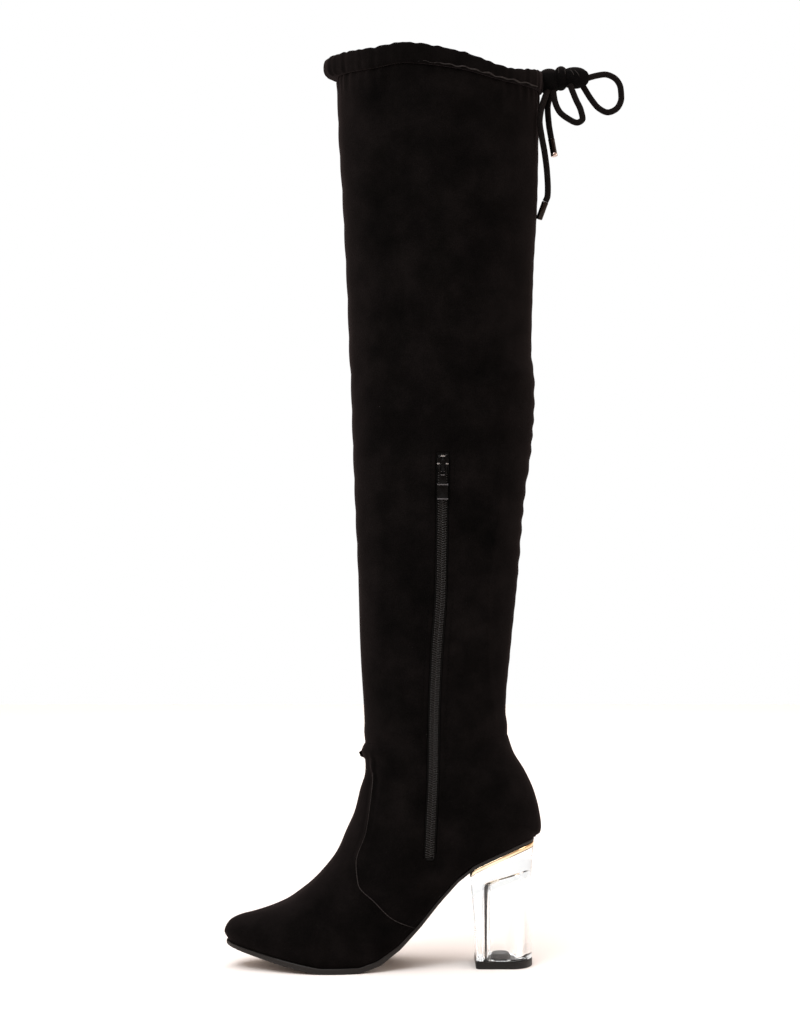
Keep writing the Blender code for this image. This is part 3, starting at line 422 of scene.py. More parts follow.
def cord_uv(piece, rows, columns, length):
    """UV of a loft's quads in their own order: u along in cord widths, v once round."""
    i, j = np.meshgrid(np.arange(rows - 1), np.arange(columns), indexing="ij")
    u = np.stack([i, i, i + 1, i + 1], axis=-1) / (rows - 1) * length / CORD_WIDTH
    v = np.stack([j, j + 1, j + 1, j], axis=-1) / columns
    flat = np.zeros((len(piece.data.loops), 2), np.float32)
    count = u.size
    flat[:count] = np.stack([u, v], axis=-1).reshape(-1, 2)
    piece.data.uv_layers.new(name="UVMap").data.foreach_set("uv", flat.ravel())


def into_knot(line, first, last):
    """The line run on straight into the knot by TUCK at its first end, its last end, or both."""
    before, after = line[:1] - line[1:2], line[-1:] - line[-2:-1]
    before, after = (line_end + step / np.linalg.norm(step) * TUCK
                     for line_end, step in ((line[:1], before), (line[-1:], after)))
    return np.concatenate([before[:first], line, after[:last]])


for cord_name, route in CORD_ROUTES.items():
    cord_line = into_knot(path_through(route, 90), True, "loop" in cord_name)
    cord_loops = sweep(cord_line, np.array([0.0, 1.0, 0.0]), CORD_WIDTH / 2)
    piece = add_piece(cord_name + "_cord", loft(cord_loops), cord_cover, [cord_name], sharp=60)
    cord_length = np.linalg.norm(np.diff(cord_line, axis=0), axis=1).sum()
    cord_uv(piece, *cord_loops.shape[:2], cord_length)
    print(cord_name, "is", round(cord_length, 1), "mm long")

# %% [markdown]
# ## The metal tips
#
# Each end is crimped into a turned tube 13.5 mm long, plated dark. The short end's tube closes with a pale
# rose cap and the long one's is rounded off. Each is a surface of revolution: a radius for each place
# along its axis, with a small roll where the cord goes in.

# %% Aglets
AGLET_WIDTH, AGLET_LENGTH, GAP = 5.0, 13.5, 0.3


def make_plating(name, dark, light, metallic=1.0):
    """Plated metal, a little duller where noise says that it is worn. Metallic 0 is a gloss black plate."""
    level = 0.5 if metallic else 0.06
    made, tree, shader, wear = speckled(
        name, 900.0, 2.0, (0.35, dark), (0.75, light), Metallic=metallic, Specular_IOR_Level=level
    )
    plug(tree, shader, Roughness=node(tree, RANGE, Value=wear, To_Min=0.16, To_Max=0.3).outputs[0])
    return made


rose_plating = make_plating("dark rose plating", "1a1716", "302b29")
rose_cap = make_plating("rose gold cap", "b0a09a", "cdbdb6")

CRIMP = ((0.0, 0.80), (0.02, 0.94), (0.06, 1.0), (0.12, 0.95), (0.16, 0.95))
CAPPED_TUBE = (*CRIMP, (0.80, 0.95), (0.82, 0.90))
ROUND_TUBE = (*CRIMP, (0.95, 0.95), (0.985, 0.86), (1.0, 0.66))
CAP = ((0.82, 0.90), (0.84, 0.98), (0.975, 0.98), (0.995, 0.90), (1.0, 0.78))


def revolve(profile, start, direction, length, radius, turns=28):
    """Loops of a surface of revolution: radius times the profile's second column at its first."""
    profile = np.array(profile)
    side = np.cross(direction, [0.0, 1.0, 0.0])
    side /= np.linalg.norm(side)
    up = np.cross(direction, side)
    t = np.linspace(0, 2 * math.pi, turns, endpoint=False)[None, :, None]
    centre = start + direction * (profile[:, :1] * length)
    return centre[:, None] + radius * profile[:, 1, None, None] * (side * np.cos(t) + up * np.sin(t))


def cord_tail(route):
    """Where a tip starts, and its direction: the CAD's own last two path points."""
    points = CORD_ROUTES[route]
    length = np.linalg.norm(np.diff(points, axis=0), axis=1).sum()
    tail = path_through(points, 2 + int(length / CORD_WIDTH))[-2:]
    direction = (tail[1] - tail[0]) / np.linalg.norm(tail[1] - tail[0])
    return tail[1] + direction * GAP, direction


tips = {}
for cord_name in ("bow_end_short", "bow_end_long"):
    start, direction = cord_tail(cord_name)
    aglet = cord_name.replace("bow_end", "aglet")
    capped = aglet == "aglet_short"
    tube = revolve(CAPPED_TUBE if capped else ROUND_TUBE, start, direction, AGLET_LENGTH, AGLET_WIDTH / 2)
    tips[cord_name] = [add_piece(aglet + "_tube", loft(tube), rose_plating, [aglet])]
    if capped:
        cap = revolve(CAP, start, direction, AGLET_LENGTH, AGLET_WIDTH / 2)
        tips[cord_name].append(add_piece(aglet + "_cap", loft(cap), rose_cap, [aglet]))

# %% [markdown]
# ## The knot
#
# The knot is the velvet's own drawstring channel and cord pulled into three soft lumps: one against the
# casing, a narrow raised band, and a longer roll with slanting creases. Each lump is an ellipsoid whose
# radius dips along creases that wind round it, which is how wrapped cloth reads from a step away.

# %% Knot
KNOT_LUMPS = (
    # centre, half sizes, creases from end to end, turns of each crease round the lump
    ((33.2, 0.0, 644.2), (8.6, 8.8, 9.4), 1.0, 1),
    ((41.8, 0.0, 646.4), (5.4, 9.1, 8.9), 0.0, 0),
    ((51.8, 0.0, 646.8), (10.6, 8.0, 7.9), 1.0, 1),
)
CREASE_DEPTH, CREASE_WIDTH, CREASE_START, LUMP_SQUARE = 0.05, 0.2, 0.6, 0.8
# thin lines of painted highlight over the lumps, along their creases
KNOT_LINES = (
    # lump, then the line's places on its near side, as x and z
    (1, ((39.9, 649.0), (39.7, 652.0), (40.6, 654.3))),
    (1, ((44.6, 648.2), (44.2, 651.6), (43.0, 654.2))),
    (2, ((47.8, 652.2), (49.6, 650.0), (50.8, 647.6))),
    (2, ((51.2, 651.6), (53.2, 649.4), (54.8, 646.9))),
)


def wrapped_lump(centre, half, creases, turns):
    """Loops sin(a)^0.8 round X, less d exp(-(w / width)^2) of it, where w = sin(creases a + turns t)."""
    a = np.linspace(0.05, math.pi - 0.05, 44)[:, None]
    t = np.linspace(0, 2 * math.pi, 56, endpoint=False)[None, :]
    crease = np.sin(creases * a + turns * t + CREASE_START)
    radius = np.sin(a) ** LUMP_SQUARE * (1 - CREASE_DEPTH * np.exp(-((crease / CREASE_WIDTH) ** 2)))
    loops = np.stack([np.cos(a) + 0 * t, radius * np.cos(t), radius * np.sin(t)], axis=-1)
    return loft(loops * half + centre)


knot_shape = join([wrapped_lump(*lump) for lump in KNOT_LUMPS])
print("the knot has", len(KNOT_LUMPS), "lumps")

# %% Knot cover and painted highlight lines


def make_knot_cover():
    """Black velvet pulled tight: nearly black in front, with a painted highlight where it faces up to the
    light.
    """
    made, tree, shader, grain = speckled(
        "velvet pulled into the knot", 1400.0, 2.0, (0.35, "040404"), (0.75, "0b0a0a"),
        Roughness=0.85, Specular_IOR_Level=0.03,
    )
    dark = shader.inputs["Base Color"].links[0].from_socket
    # painted highlight: the upward faces are mixed towards 1c1919, as if lit from above
    normal = node(tree, "ShaderNodeNewGeometry").outputs["Normal"]
    upward = node(tree, "ShaderNodeSeparateXYZ", Vector=normal).outputs["Z"]
    painted_top_light = node(tree, RAMP, stops=[(0.45, grey(0.0)), (0.95, grey(0.8))], i0=upward).outputs["Color"]
    shown = node(tree, MIX, {"data_type": "RGBA"}, i0=painted_top_light, i6=dark, i7=srgb("1c1919")).outputs[2]
    nap = node(tree, BUMP, Strength=0.4, Distance=0.25 * MM, Height=grain).outputs[0]
    plug(tree, shader, Base_Color=shown, Normal=nap)
    return made


def knot_line(lump, places):
    """Thin tube over a lump's near side: y is where the lump's own surface is at each x and z."""
    centre, half = np.array(KNOT_LUMPS[lump][0]), np.array(KNOT_LUMPS[lump][1])
    x, z = path_through(places, 14).T
    ring = np.sqrt(1 - np.clip(((x - centre[0]) / half[0]) ** 2, 0, 0.98)) ** LUMP_SQUARE
    near = np.sqrt(np.clip(ring**2 - ((z - centre[2]) / half[2]) ** 2, 0.0, 1.0))
    line = np.column_stack([x, -half[1] * near, z])
    return loft(sweep(line, np.array([1.0, 0.0, 0.0]), 0.34 * np.sin(np.linspace(0.5, math.pi - 0.5, 14)), 8))


add_piece("bow_knot_wraps", knot_shape, make_knot_cover(), ["bow_knot"], sharp=60)
# the lines are drawn in the pressed velvet, whose lighter colour is a painted highlight
add_piece("bow_knot_highlight_lines", join([knot_line(*row) for row in KNOT_LINES]), painted_highlight_nap, sharp=80)

# %% [markdown]
# ## How the cords lie
#
# On the real boot the bow is limp and hangs from its knot. It could be simulated, but the photo shows how
# it lies, so each tube is built as it lies, along its path with its diameter, and its length is printed.
# An end carries its tip, and a loop runs back into the knot.

# %% [markdown]
# ## The skin's sizes
#
# The boot's skin is one function of a place in side view: given x and z it returns how far the inner and
# the outer side stand out. The upper, the shaft, the casing, the sole and the zip are all cut from it,
# which is why they meet. Its tables hold shares of the foot's length, the ball's width, and the shaft's
# depth and width.

# %% Driving sizes
FOOT_LENGTH, HEEL_SET, BALL_WIDTH, SEAT_HEIGHT, ANKLE_HEIGHT, WALL = 230.7, 27.4, 87.0, 91.0, 162.0, 2.0
BULGE, BULGE_RISE, COUNTER_ROUND = 4.2, 15.0, 30.0
HEEL_TUCK, HEEL_SWELL, TUCK_STATION = 3.3, 7.7, 0.003
COLLAR_HEIGHT, SHAFT_DEPTH, SHAFT_WIDTH, SHAFT_AXIS = 647.0, 148.0, 114.0, -47.5
ANKLE_RISE, COLLAR_DROP, CASING_HEIGHT, CASING_THICK, CASING_BUMP = 6.0, 11.0, 15.0, 4.4, 7.0
SOLE_BALL, SOLE_TOE, SOLE_SEAT, SOLE_EDGE = 4.2, 3.0, 2.2, 0.9

# %% Tables of the foot, in shares of its sizes
SOLE_LINE = (
    (0.020, 1.000), (0.068, 0.966), (0.126, 0.907), (0.185, 0.837), (0.228, 0.780), (0.288, 0.632),
    (0.336, 0.491), (0.380, 0.350), (0.437, 0.190), (0.481, 0.096), (0.516, 0.042), (0.550, 0.010),
    (0.575, 0.000), (0.690, 0.000), (0.756, 0.028), (0.854, 0.085), (0.921, 0.130), (0.975, 0.166),
    (0.994, 0.181),
)
EDGE_LINE = (
    (0.00, 0.305, 0.305, 0.000), (0.13, 0.312, 0.312, 0.000), (0.28, 0.315, 0.322, 0.000),
    (0.42, 0.345, 0.370, 0.000), (0.55, 0.435, 0.450, 0.000), (0.64, 0.488, 0.500, 0.005),
    (0.70, 0.492, 0.495, 0.012), (0.78, 0.452, 0.430, 0.025), (0.86, 0.372, 0.322, 0.042),
    (0.93, 0.285, 0.210, 0.055), (1.00, 0.215, 0.120, 0.062),
)
RIDGE_LINE = (
    (1.000, 0.158), (0.985, 0.203), (0.949, 0.230), (0.908, 0.244), (0.854, 0.267), (0.801, 0.299),
    (0.763, 0.336), (0.725, 0.379), (0.693, 0.425), (0.645, 0.514), (0.617, 0.604), (0.589, 0.694),
    (0.573, 0.784), (0.556, 0.880), (0.556, 0.915), (0.569, 0.962), (0.556, 1.000),
)
COUNTER_LINE = ((0.006, 0.277), (0.022, 0.490), (0.051, 0.703), (0.088, 0.905), (0.108, 1.000))

# %% Tables of the shaft, the collar and the zip
COLLAR_LINE = (
    # share of the collar's depth, rise of its seam and height of its casing
    (0.00, 0.00, 0.93), (0.17, 0.13, 0.90), (0.345, 0.41, 0.89), (0.60, 0.29, 0.75), (0.84, 0.00, 0.59),
    (1.00, 0.00, 0.93),
)
COLLAR_FROM = 0.75
RIDGE_ROUND = (
    (0.30, 0.350), (0.55, 0.340), (0.64, 0.285), (0.72, 0.225), (0.80, 0.165), (0.90, 0.125), (1.00, 0.100),
)
SHAFT_LINE = (
    (0.000, -0.362, 0.339, 0.307), (0.040, -0.366, 0.329, 0.308), (0.130, -0.381, 0.353, 0.316),
    (0.250, -0.397, 0.391, 0.345), (0.380, -0.414, 0.428, 0.386), (0.440, -0.422, 0.453, 0.403),
    (0.535, -0.431, 0.472, 0.421), (0.600, -0.444, 0.458, 0.430), (0.720, -0.458, 0.468, 0.447),
    (0.810, -0.473, 0.483, 0.463), (0.910, -0.494, 0.491, 0.483), (1.000, -0.503, 0.499, 0.500),
)
ZIP_LINE = (
    (0.45, 0.355), (0.59, 0.352), (0.87, 0.344), (1.12, 0.341), (1.40, 0.333), (1.68, 0.320),
    (2.10, 0.3155), (2.35, 0.3140),
)
print("the foot is", FOOT_LENGTH, "mm long and the collar", COLLAR_HEIGHT, "mm up")

# %% [markdown]
# ## The boot in side view
#
# The sole's line and the shaft's two edges are the last's profile, which is what a maker draws first.
# They could be drawn as curves by hand. As functions of a share of the length they bend with the sizes,
# and every later piece can ask where the sole or the edge is.

# %% Side view of the sole and the shaft


def ease(value):
    """Smooth step from 0 to 1: v v (3 - 2 v)."""
    value = np.clip(value, 0.0, 1.0)
    return value * value * (3 - 2 * value)


def quarter_round(value):
    """Rises like a quarter of a circle from 0 to 1."""
    return np.sqrt(1.0 - (1.0 - np.clip(value, 0.0, 1.0)) ** 2)


def station_x(station):
    """Place along X of a share of the foot's length from the heel's back."""
    return HEEL_SET - np.asarray(station, float) * FOOT_LENGTH


def sole_thickness(station):
    """Thin at the seat and through the arch, full under the ball, less at the toe."""
    fore = SOLE_SEAT + (SOLE_BALL - SOLE_SEAT) * ease((station - 0.35) / 0.2)
    return fore + (SOLE_TOE - SOLE_BALL) * ease((station - 0.75) / 0.25)


def sole_point(station, lift):
    """Side view of the sole's underside, moved along its own normal by lift."""
    station = np.asarray(station, float)
    ahead = np.clip(station + 0.002, SOLE_LINE[0][0], SOLE_LINE[-1][0])
    behind = np.clip(station - 0.002, SOLE_LINE[0][0], SOLE_LINE[-1][0])
    rise = (through(SOLE_LINE, ahead) - through(SOLE_LINE, behind)) * SEAT_HEIGHT
    run = station_x(ahead) - station_x(behind)
    length = np.hypot(run, rise)
    z = through(SOLE_LINE, station) * SEAT_HEIGHT - lift * run / length
    return station_x(station) + lift * rise / length, z


def sole_station(share):
    """Station on the sole from its toe at share 0 to its heel at share 1."""
    return SOLE_LINE[-1][0] + (SOLE_LINE[0][0] - SOLE_LINE[-1][0]) * np.asarray(share, float)


def featherline(share):
    """Where the upper meets the sole."""
    station = sole_station(share)
    return sole_point(station, sole_thickness(station) + GAP)


def shaft_row(level):
    """Front and back end of one level of the shaft, in side view."""
    level = np.asarray(level, float)
    front_x = SHAFT_AXIS + through(SHAFT_LINE, level, 1) * SHAFT_DEPTH
    back_x = SHAFT_AXIS + through(SHAFT_LINE, level, 2) * SHAFT_DEPTH
    low_back = ANKLE_HEIGHT + ANKLE_RISE
    front_z = ANKLE_HEIGHT + level * (COLLAR_HEIGHT - ANKLE_HEIGHT)
    back_z = low_back + level * (COLLAR_HEIGHT - COLLAR_DROP - low_back)
    return np.stack([front_x, front_z], axis=-1), np.stack([back_x, back_z], axis=-1)


def collar_rise(share, level):
    """How far a row of the shaft is lifted at a share of its depth: only near the collar."""
    lift = through(COLLAR_LINE, share, 1) * CASING_HEIGHT
    return lift * ease((level - COLLAR_FROM) / (1 - COLLAR_FROM))


def side_lines():
    """Front and back outline of the foot in side view, each from the featherline up."""
    ridge, counter = np.array(RIDGE_LINE) * [1.0, ANKLE_HEIGHT], np.array(COUNTER_LINE)
    seat = np.array(featherline(1.0))
    counter[:, 1] = seat[1] + counter[:, 1] * (ANKLE_HEIGHT - seat[1])
    ridge[:, 0], counter[:, 0] = station_x(ridge[:, 0]), station_x(counter[:, 0])
    ridge[-1], counter[-1] = shaft_row(0.0)
    tuck = (station_x(TUCK_STATION), seat[1] + HEEL_TUCK)
    swell = (station_x(0.0), seat[1] + HEEL_SWELL)
    return np.vstack([featherline(0.0), ridge]), np.vstack([seat, tuck, swell, counter])


RIDGE_POINTS, COUNTER_POINTS = side_lines()
LEVELS = np.linspace(0.0, 1.0, 60)[1:]
FRONT_OUTLINE = np.vstack([path_through(RIDGE_POINTS, 90), shaft_row(LEVELS)[0]])
BACK_OUTLINE = np.vstack([path_through(COUNTER_POINTS, 50), shaft_row(LEVELS)[1]])
BASE_OUTLINE = np.column_stack(featherline(np.linspace(0.0, 1.0, 90)))
print("the side view has", len(FRONT_OUTLINE), "points in front and", len(BACK_OUTLINE), "behind")

# %% [markdown]
# ## The skin itself
#
# Seen from above, velvet over a last is nowhere flat: it rounds off towards its front and back edges.
# Sections could be lofted, but they ripple between stations. Here the half width at any place is one
# product, which is smooth everywhere, and its roundness follows the distance to the two outlines.

# %% The skin
FOOT_TO_SHAFT, SHAFT_SPAN = (0.55, 0.38), 0.44
BULGE_FADE, TOE_FROM, TOE_SPAN = 0.55, 0.68, 0.2


def distance_to(outline, x, z):
    """Shortest distance from each point to a line of short segments, a few thousand points at a time."""
    start, run = outline[:-1], np.diff(outline, axis=0)
    square = (run * run).sum(axis=-1)
    every = np.stack([np.ravel(x), np.ravel(z)], axis=-1)
    found = []
    for point in np.array_split(every, max(1, len(every) // 4000)):
        point = point[:, None, :]
        along = np.clip(((point - start) * run).sum(axis=-1) / square, 0.0, 1.0)
        found.append(np.linalg.norm(point - start - along[..., None] * run, axis=-1).min(axis=1))
    return np.concatenate(found).reshape(np.shape(x))


def skin_sides(x, z):
    """Inner and outer y of the skin at a place in side view.

    The half width goes from the sole's edge near the floor to the shaft's half width further up. It is
    multiplied by a quarter circle of the distance to the front outline and one of that to the back.
    """
    x, z = np.asarray(x, float), np.asarray(z, float)
    station = np.clip((HEEL_SET - x) / FOOT_LENGTH, 0.0, 1.0)
    from_front, from_back = distance_to(FRONT_OUTLINE, x, z), distance_to(BACK_OUTLINE, x, z)
    from_base = distance_to(BASE_OUTLINE, x, z)
    level = np.clip((z - ANKLE_HEIGHT) / (COLLAR_HEIGHT - ANKLE_HEIGHT), 0.0, 1.0)
    front, back = shaft_row(level)
    half_depth = (back[..., 0] - front[..., 0]) / 2
    shaft_half = through(SHAFT_LINE, level, 3) * SHAFT_WIDTH
    up = ease((z / ANKLE_HEIGHT - FOOT_TO_SHAFT[0]) / FOOT_TO_SHAFT[1])
    ridge_round = np.minimum(through(RIDGE_ROUND, station) * SHAFT_DEPTH, half_depth)
    front_round = ridge_round * (1 - up) + half_depth * up
    back_round = COUNTER_ROUND * (1 - up) + half_depth * up
    rounding = quarter_round(from_front / front_round) * quarter_round(from_back / back_round)
    bulge = BULGE * np.sin(0.5 * math.pi * np.clip(from_base / BULGE_RISE, 0.0, 1.0))
    bulge = bulge * (1 - BULGE_FADE * ease((station - 0.3) / 0.3))
    to_shaft = ease(from_base / (SHAFT_SPAN * ANKLE_HEIGHT))
    to_shaft = to_shaft * (1 - ease((station - TOE_FROM) / TOE_SPAN))
    ridge_y = -through(EDGE_LINE, station, 3) * BALL_WIDTH * (1 - ease(from_base / ANKLE_HEIGHT))
    sides = []
    for column, sign in ((1, -1.0), (2, 1.0)):
        edge = through(EDGE_LINE, station, column) * BALL_WIDTH + bulge
        half = (edge - sign * ridge_y) * (1 - to_shaft) + shaft_half * to_shaft
        sides.append(ridge_y + sign * half * rounding)
    return sides


def skin_points(x, z, inner):
    """World points of the skin, the inner side where inner is true."""
    low, high = skin_sides(x, z)
    return np.stack([x, np.where(inner, low, high), z], axis=-1)


print("the skin at the knee is", [float(np.round(side, 1)) for side in skin_sides(-47.5, 400.0)], "mm out")


# %% [markdown]
# ## Rows and columns of the skin
#
# A row runs once round the leg. On the foot each row is a Coons patch's: it blends the ridge, the heel's
# back, the sole's edge and the ankle seam. On the shaft it is a straight line in side view. The columns
# are bunched so that four of them follow the two edges of the zip's slot exactly, and the faces between
# them are left out.

# %% Side-view places and the slot's columns
ZIP_TOP, ZIP_END, SLOT_WIDTH = 373.0, 80.0, 9.5
SEAM_GAP = 0.06
FOOT_RIDGE, FOOT_COUNTER = path_through(RIDGE_POINTS, 400), path_through(COUNTER_POINTS, 400)


def zip_place(height):
    """Side-view place of the zip's middle line at a height."""
    return station_x(through(ZIP_LINE, np.asarray(height, float) / ANKLE_HEIGHT))


def foot_place(share, rise):
    """Side view of the foot's rows: Coons blend of its four outlines."""
    fine = np.linspace(0.0, 1.0, 400)
    low = featherline(share)
    first, last = featherline(0.0), featherline(1.0)
    seam = [end - np.array([0.0, SEAM_GAP]) for end in shaft_row(0.0)]
    found = []
    for axis in (0, 1):
        front = np.interp(rise, fine, FOOT_RIDGE[:, axis]) - SEAM_GAP * axis * rise
        back = np.interp(rise, fine, FOOT_COUNTER[:, axis]) - SEAM_GAP * axis * rise
        high = seam[0][axis] + (seam[1][axis] - seam[0][axis]) * share
        corners = (1 - share) * ((1 - rise) * first[axis] + rise * seam[0][axis])
        corners = corners + share * ((1 - rise) * last[axis] + rise * seam[1][axis])
        found.append((1 - share) * front + share * back + (1 - rise) * low[axis] + rise * high - corners)
    return found


def shaft_place(share, rise):
    """Side view of the shaft's rows: straight from the front to the back, but for the collar's wave."""
    front, back = shaft_row(rise)
    x, z = [front[..., axis] + (back[..., axis] - front[..., axis]) * share for axis in (0, 1)]
    return x, z + collar_rise(share, rise)


def slot_share(place, rise, offset):
    """Share at which each row crosses a line beside the zip's, by halving the step 30 times."""
    low, high = np.zeros(len(rise)), np.ones(len(rise))
    for _ in range(30):
        middle = (low + high) / 2
        x, z = place(middle, rise)
        short = x < zip_place(z) + offset
        low, high = np.where(short, middle, low), np.where(short, high, middle)
    return (low + high) / 2


def row_heights(place, rise, height):
    """The rises with the nearest one moved, so that one row meets the zip's line at a height."""
    z = place(slot_share(place, rise, 0.0), rise)[1]
    rise = rise.copy()
    rise[np.abs(z - height).argmin()] = np.interp(height, z, rise)
    return rise


SLOT_EDGES = (-SLOT_WIDTH / 2 - 1.0, -SLOT_WIDTH / 2, SLOT_WIDTH / 2, SLOT_WIDTH / 2 + 1.0)
COLUMN_COUNTS = (50, 1, 5, 1, 46)
OUTER_COLUMNS = 88


def column_angles(place, rise):
    """Angle of each column in each row, 0 at the front, pi at the back and 2 pi at the front again."""
    marks = [np.zeros(len(rise))]
    marks += [np.arccos(1 - 2 * slot_share(place, rise, offset)) for offset in SLOT_EDGES]
    marks += [np.full(len(rise), math.pi)]
    parts = []
    for low, high, count in zip(marks, marks[1:], COLUMN_COUNTS):
        step = np.arange(count) / count
        parts.append(low[:, None] + (high - low)[:, None] * step)
    outer = math.pi + math.pi * np.arange(OUTER_COLUMNS) / OUTER_COLUMNS
    parts.append(np.broadcast_to(outer, (len(rise), OUTER_COLUMNS)))
    return np.concatenate(parts, axis=1)


print("the slot is", ZIP_TOP - ZIP_END, "mm long and", SLOT_WIDTH, "mm wide")

# %% [markdown]
# ## Creases, gathers and seams
#
# The velvet is soft, so its surface is never as smooth as the function. Each crease is placed one by one
# in the boot's own sizes: ripples down the back seam behind the calf, shallow scallops down the front
# seam, folds below the ankle seam, gathers under the casing, the raised seam between the vamp and the
# quarter, and the quilted strip beside the zip. Every one is a height along the skin's own normal.

# %% Relief of the velvet
VAMP_SEAM = (
    (-96.2, 151.9), (-94.8, 138.3), (-96.2, 123.9), (-99.8, 99.5), (-106.9, 77.0), (-105.4, 62.7),
    (-94.2, 51.2), (-80.6, 38.3), (-62.8, 30.4),
)
ANKLE_FOLDS = (
    # start x, start z, end x, end z, height, width
    (-92.0, 155.0, -70.0, 148.0, 0.8, 3.4),
    (-97.0, 146.5, -70.0, 135.0, 1.0, 4.2),
    (-92.0, 133.0, -74.0, 126.0, 0.6, 4.2),
    (1.0, 160.0, -24.0, 152.0, 0.8, 4.0),
    (-90.0, 176.0, -62.0, 170.0, 0.7, 5.0),
    (-8.0, 182.0, -34.0, 176.0, 0.7, 5.0),
)
SHAFT_FOLDS = (
    (20.0, 432.0, -26.0, 414.0, 1.5, 7.0),
    (18.0, 404.0, -22.0, 396.0, 1.1, 6.0),
    (-104.0, 446.0, -66.0, 430.0, 1.0, 7.0),
    (14.0, 372.0, -20.0, 366.0, 0.8, 6.0),
    (-102.0, 405.0, -70.0, 396.0, 0.7, 6.5),
    (-3.0, 338.0, -4.5, 167.0, 0.7, 3.4),
)
BACK_RIPPLE, LEG_RIPPLE, BACK_PITCH, FRONT_SCALLOP, FRONT_PITCH = 0.3, 0.1, 13.6, 0.5, 25.5
FRONT_SEAM, BACK_SEAM, SEAM_HALF_ANGLE, GATHER_HEIGHT = 0.4, 0.45, 0.018, 0.42
print("creases placed by hand:", len(ANKLE_FOLDS) + len(SHAFT_FOLDS))

# %% Soft shapes of relief


def window(value, low, high, soft):
    """1 between low and high, easing to 0 over soft outside them."""
    return ease((value - low + soft) / soft) * (1 - ease((value - high) / soft))


def bell(value, width):
    """Soft hump: exp(-(value / width)^2)."""
    return np.exp(-((value / width) ** 2))


def fold(x, z, ax, az, bx, bz, height, width):
    """Soft ridge along a line with a trough below it, tapering to nothing at both ends."""
    run = np.array([bx - ax, bz - az])
    length = np.hypot(*run)
    along = ((x - ax) * run[0] + (z - az) * run[1]) / length
    off = ((z - az) * run[0] - (x - ax) * run[1]) / length
    bow = off + 0.06 * length * np.sin(math.pi * np.clip(along / length, 0, 1))
    taper = window(along, 0.15 * length, 0.75 * length, 0.3 * length)
    return height * taper * (bell(bow, width) - 0.6 * bell(bow + 1.7 * width, width))


def seam_relief(distance):
    """Raised seam line with a groove on each side."""
    return 0.75 * bell(distance, 1.1) - 0.35 * bell(distance - 2.6, 1.1)


def gathers(angle):
    """Pleats of the drawn-in collar: two sines of the angle, the first one at an uneven pace."""
    return np.sin(46 * angle + 1.3 * np.sin(3 * angle)) + 0.6 * np.sin(31 * angle + 2.0)


print("a hump 1 mm wide is", round(float(bell(0.83, 1.0)), 2), "high at 0.83 mm from its line")

# %% Relief of each part


def stretched(z, angle, front, back):
    """Slow swells of the stretched cloth, ripples behind the calf, scallops in front, and the two seams."""
    height = 0.35 * np.sin(2 * angle + z / 47.0) * np.sin(z / 61.0 + 1.0)
    height = height + 0.25 * np.sin(5 * angle + z / 29.0 + 0.7) * np.sin(z / 33.0)
    height *= window(z, 120.0, 620.0, 30.0)
    wobble = 1.1 * np.sin(z / 21.0) + 0.7 * np.sin(z / 9.0 + 1.0)
    ripple = np.sin(2 * math.pi * z / BACK_PITCH + wobble)
    height += BACK_RIPPLE * ripple * bell(back, 0.28) * window(z, 300.0, 428.0, 26.0)
    height += LEG_RIPPLE * ripple * bell(back, 0.22) * window(z, 190.0, 620.0, 30.0)
    scallop = np.abs(np.sin(math.pi * z / FRONT_PITCH + 0.5 * np.sin(z / 50.0))) - 0.6
    height += FRONT_SCALLOP * scallop * bell(front, 0.25) * window(z, 300.0, 628.0, 30.0)
    height -= FRONT_SEAM * bell(front, SEAM_HALF_ANGLE) * window(z, 165.0, 640.0, 4.0)
    return height - BACK_SEAM * bell(back, SEAM_HALF_ANGLE)


def on_the_foot(height, x, z, front, rise):
    """The vamp seam. The front of the ankle is left smooth, and both rims are drawn in."""
    height = height + seam_relief(distance_to(path_through(VAMP_SEAM, 80), x, z))
    height = height * (1 - bell(front, 0.22) * window(z, 138.0, 170.0, 8.0))
    return height - 0.1 * ease((rise - 0.985) / 0.015) - 0.5 * (1 - ease(rise / 0.02))


def on_the_shaft(height, angle, rise):
    """Gathers under the casing, both rims drawn in, and a raised hem over the ankle seam."""
    top = (1 - rise) * (COLLAR_HEIGHT - ANKLE_HEIGHT)
    height = height + GATHER_HEIGHT * gathers(angle) * bell(top, 13.0) - ease((4.0 - top) / 4.0)
    return height - 0.1 * (1 - ease(rise / 0.006)) + 0.5 * bell(rise - 0.016, 0.009)


def beside_zip(x, z, angle):
    """Quilted strip along the zip: raised, with a groove outside it, and low at the slot's edge."""
    beside = np.abs(x - zip_place(z))
    strip = window(z, ZIP_END - 3.0, ZIP_TOP + 2.0, 4.0) * (angle < math.pi)
    quilted = 0.35 * bell(beside - 6.4, 1.5) - 0.35 * bell(beside - 8.6, 0.8)
    return strip * (quilted - 0.5 * (beside < SLOT_WIDTH / 2 + 0.1))


def relief(points, angle, on_foot, rise):
    """Height of the velvet over the smooth skin, in millimetres: the sum of its parts."""
    x, z = points[..., 0], points[..., 2]
    front = np.minimum(angle, 2 * math.pi - angle)
    height = stretched(z, angle, front, np.abs(angle - math.pi))
    for row in ANKLE_FOLDS + SHAFT_FOLDS:
        height += fold(x, z, *row)
    height = on_the_foot(height, x, z, front, rise) if on_foot else on_the_shaft(height, angle, rise)
    return height + beside_zip(x, z, angle)


# %% [markdown]
# ## The upper and the shaft
#
# Each is one wall of velvet and lining about 2 mm thick. The outer face is the skin with its relief, and
# Solidify gives it the wall on the inside, so it stays hollow and its rims are closed.

# %% Upper and shaft


def out_from(grid):
    """Unit normals of a grid that closes on itself: along the row crossed with along the column."""
    around = np.roll(grid, -1, axis=1) - np.roll(grid, 1, axis=1)
    upward = np.gradient(grid, axis=0)
    normal = np.cross(around, upward)
    normal /= np.maximum(np.linalg.norm(normal, axis=-1, keepdims=True), 1e-9)
    middle = grid.mean(axis=1, keepdims=True)
    return normal * np.sign((normal * (grid - middle)).sum())


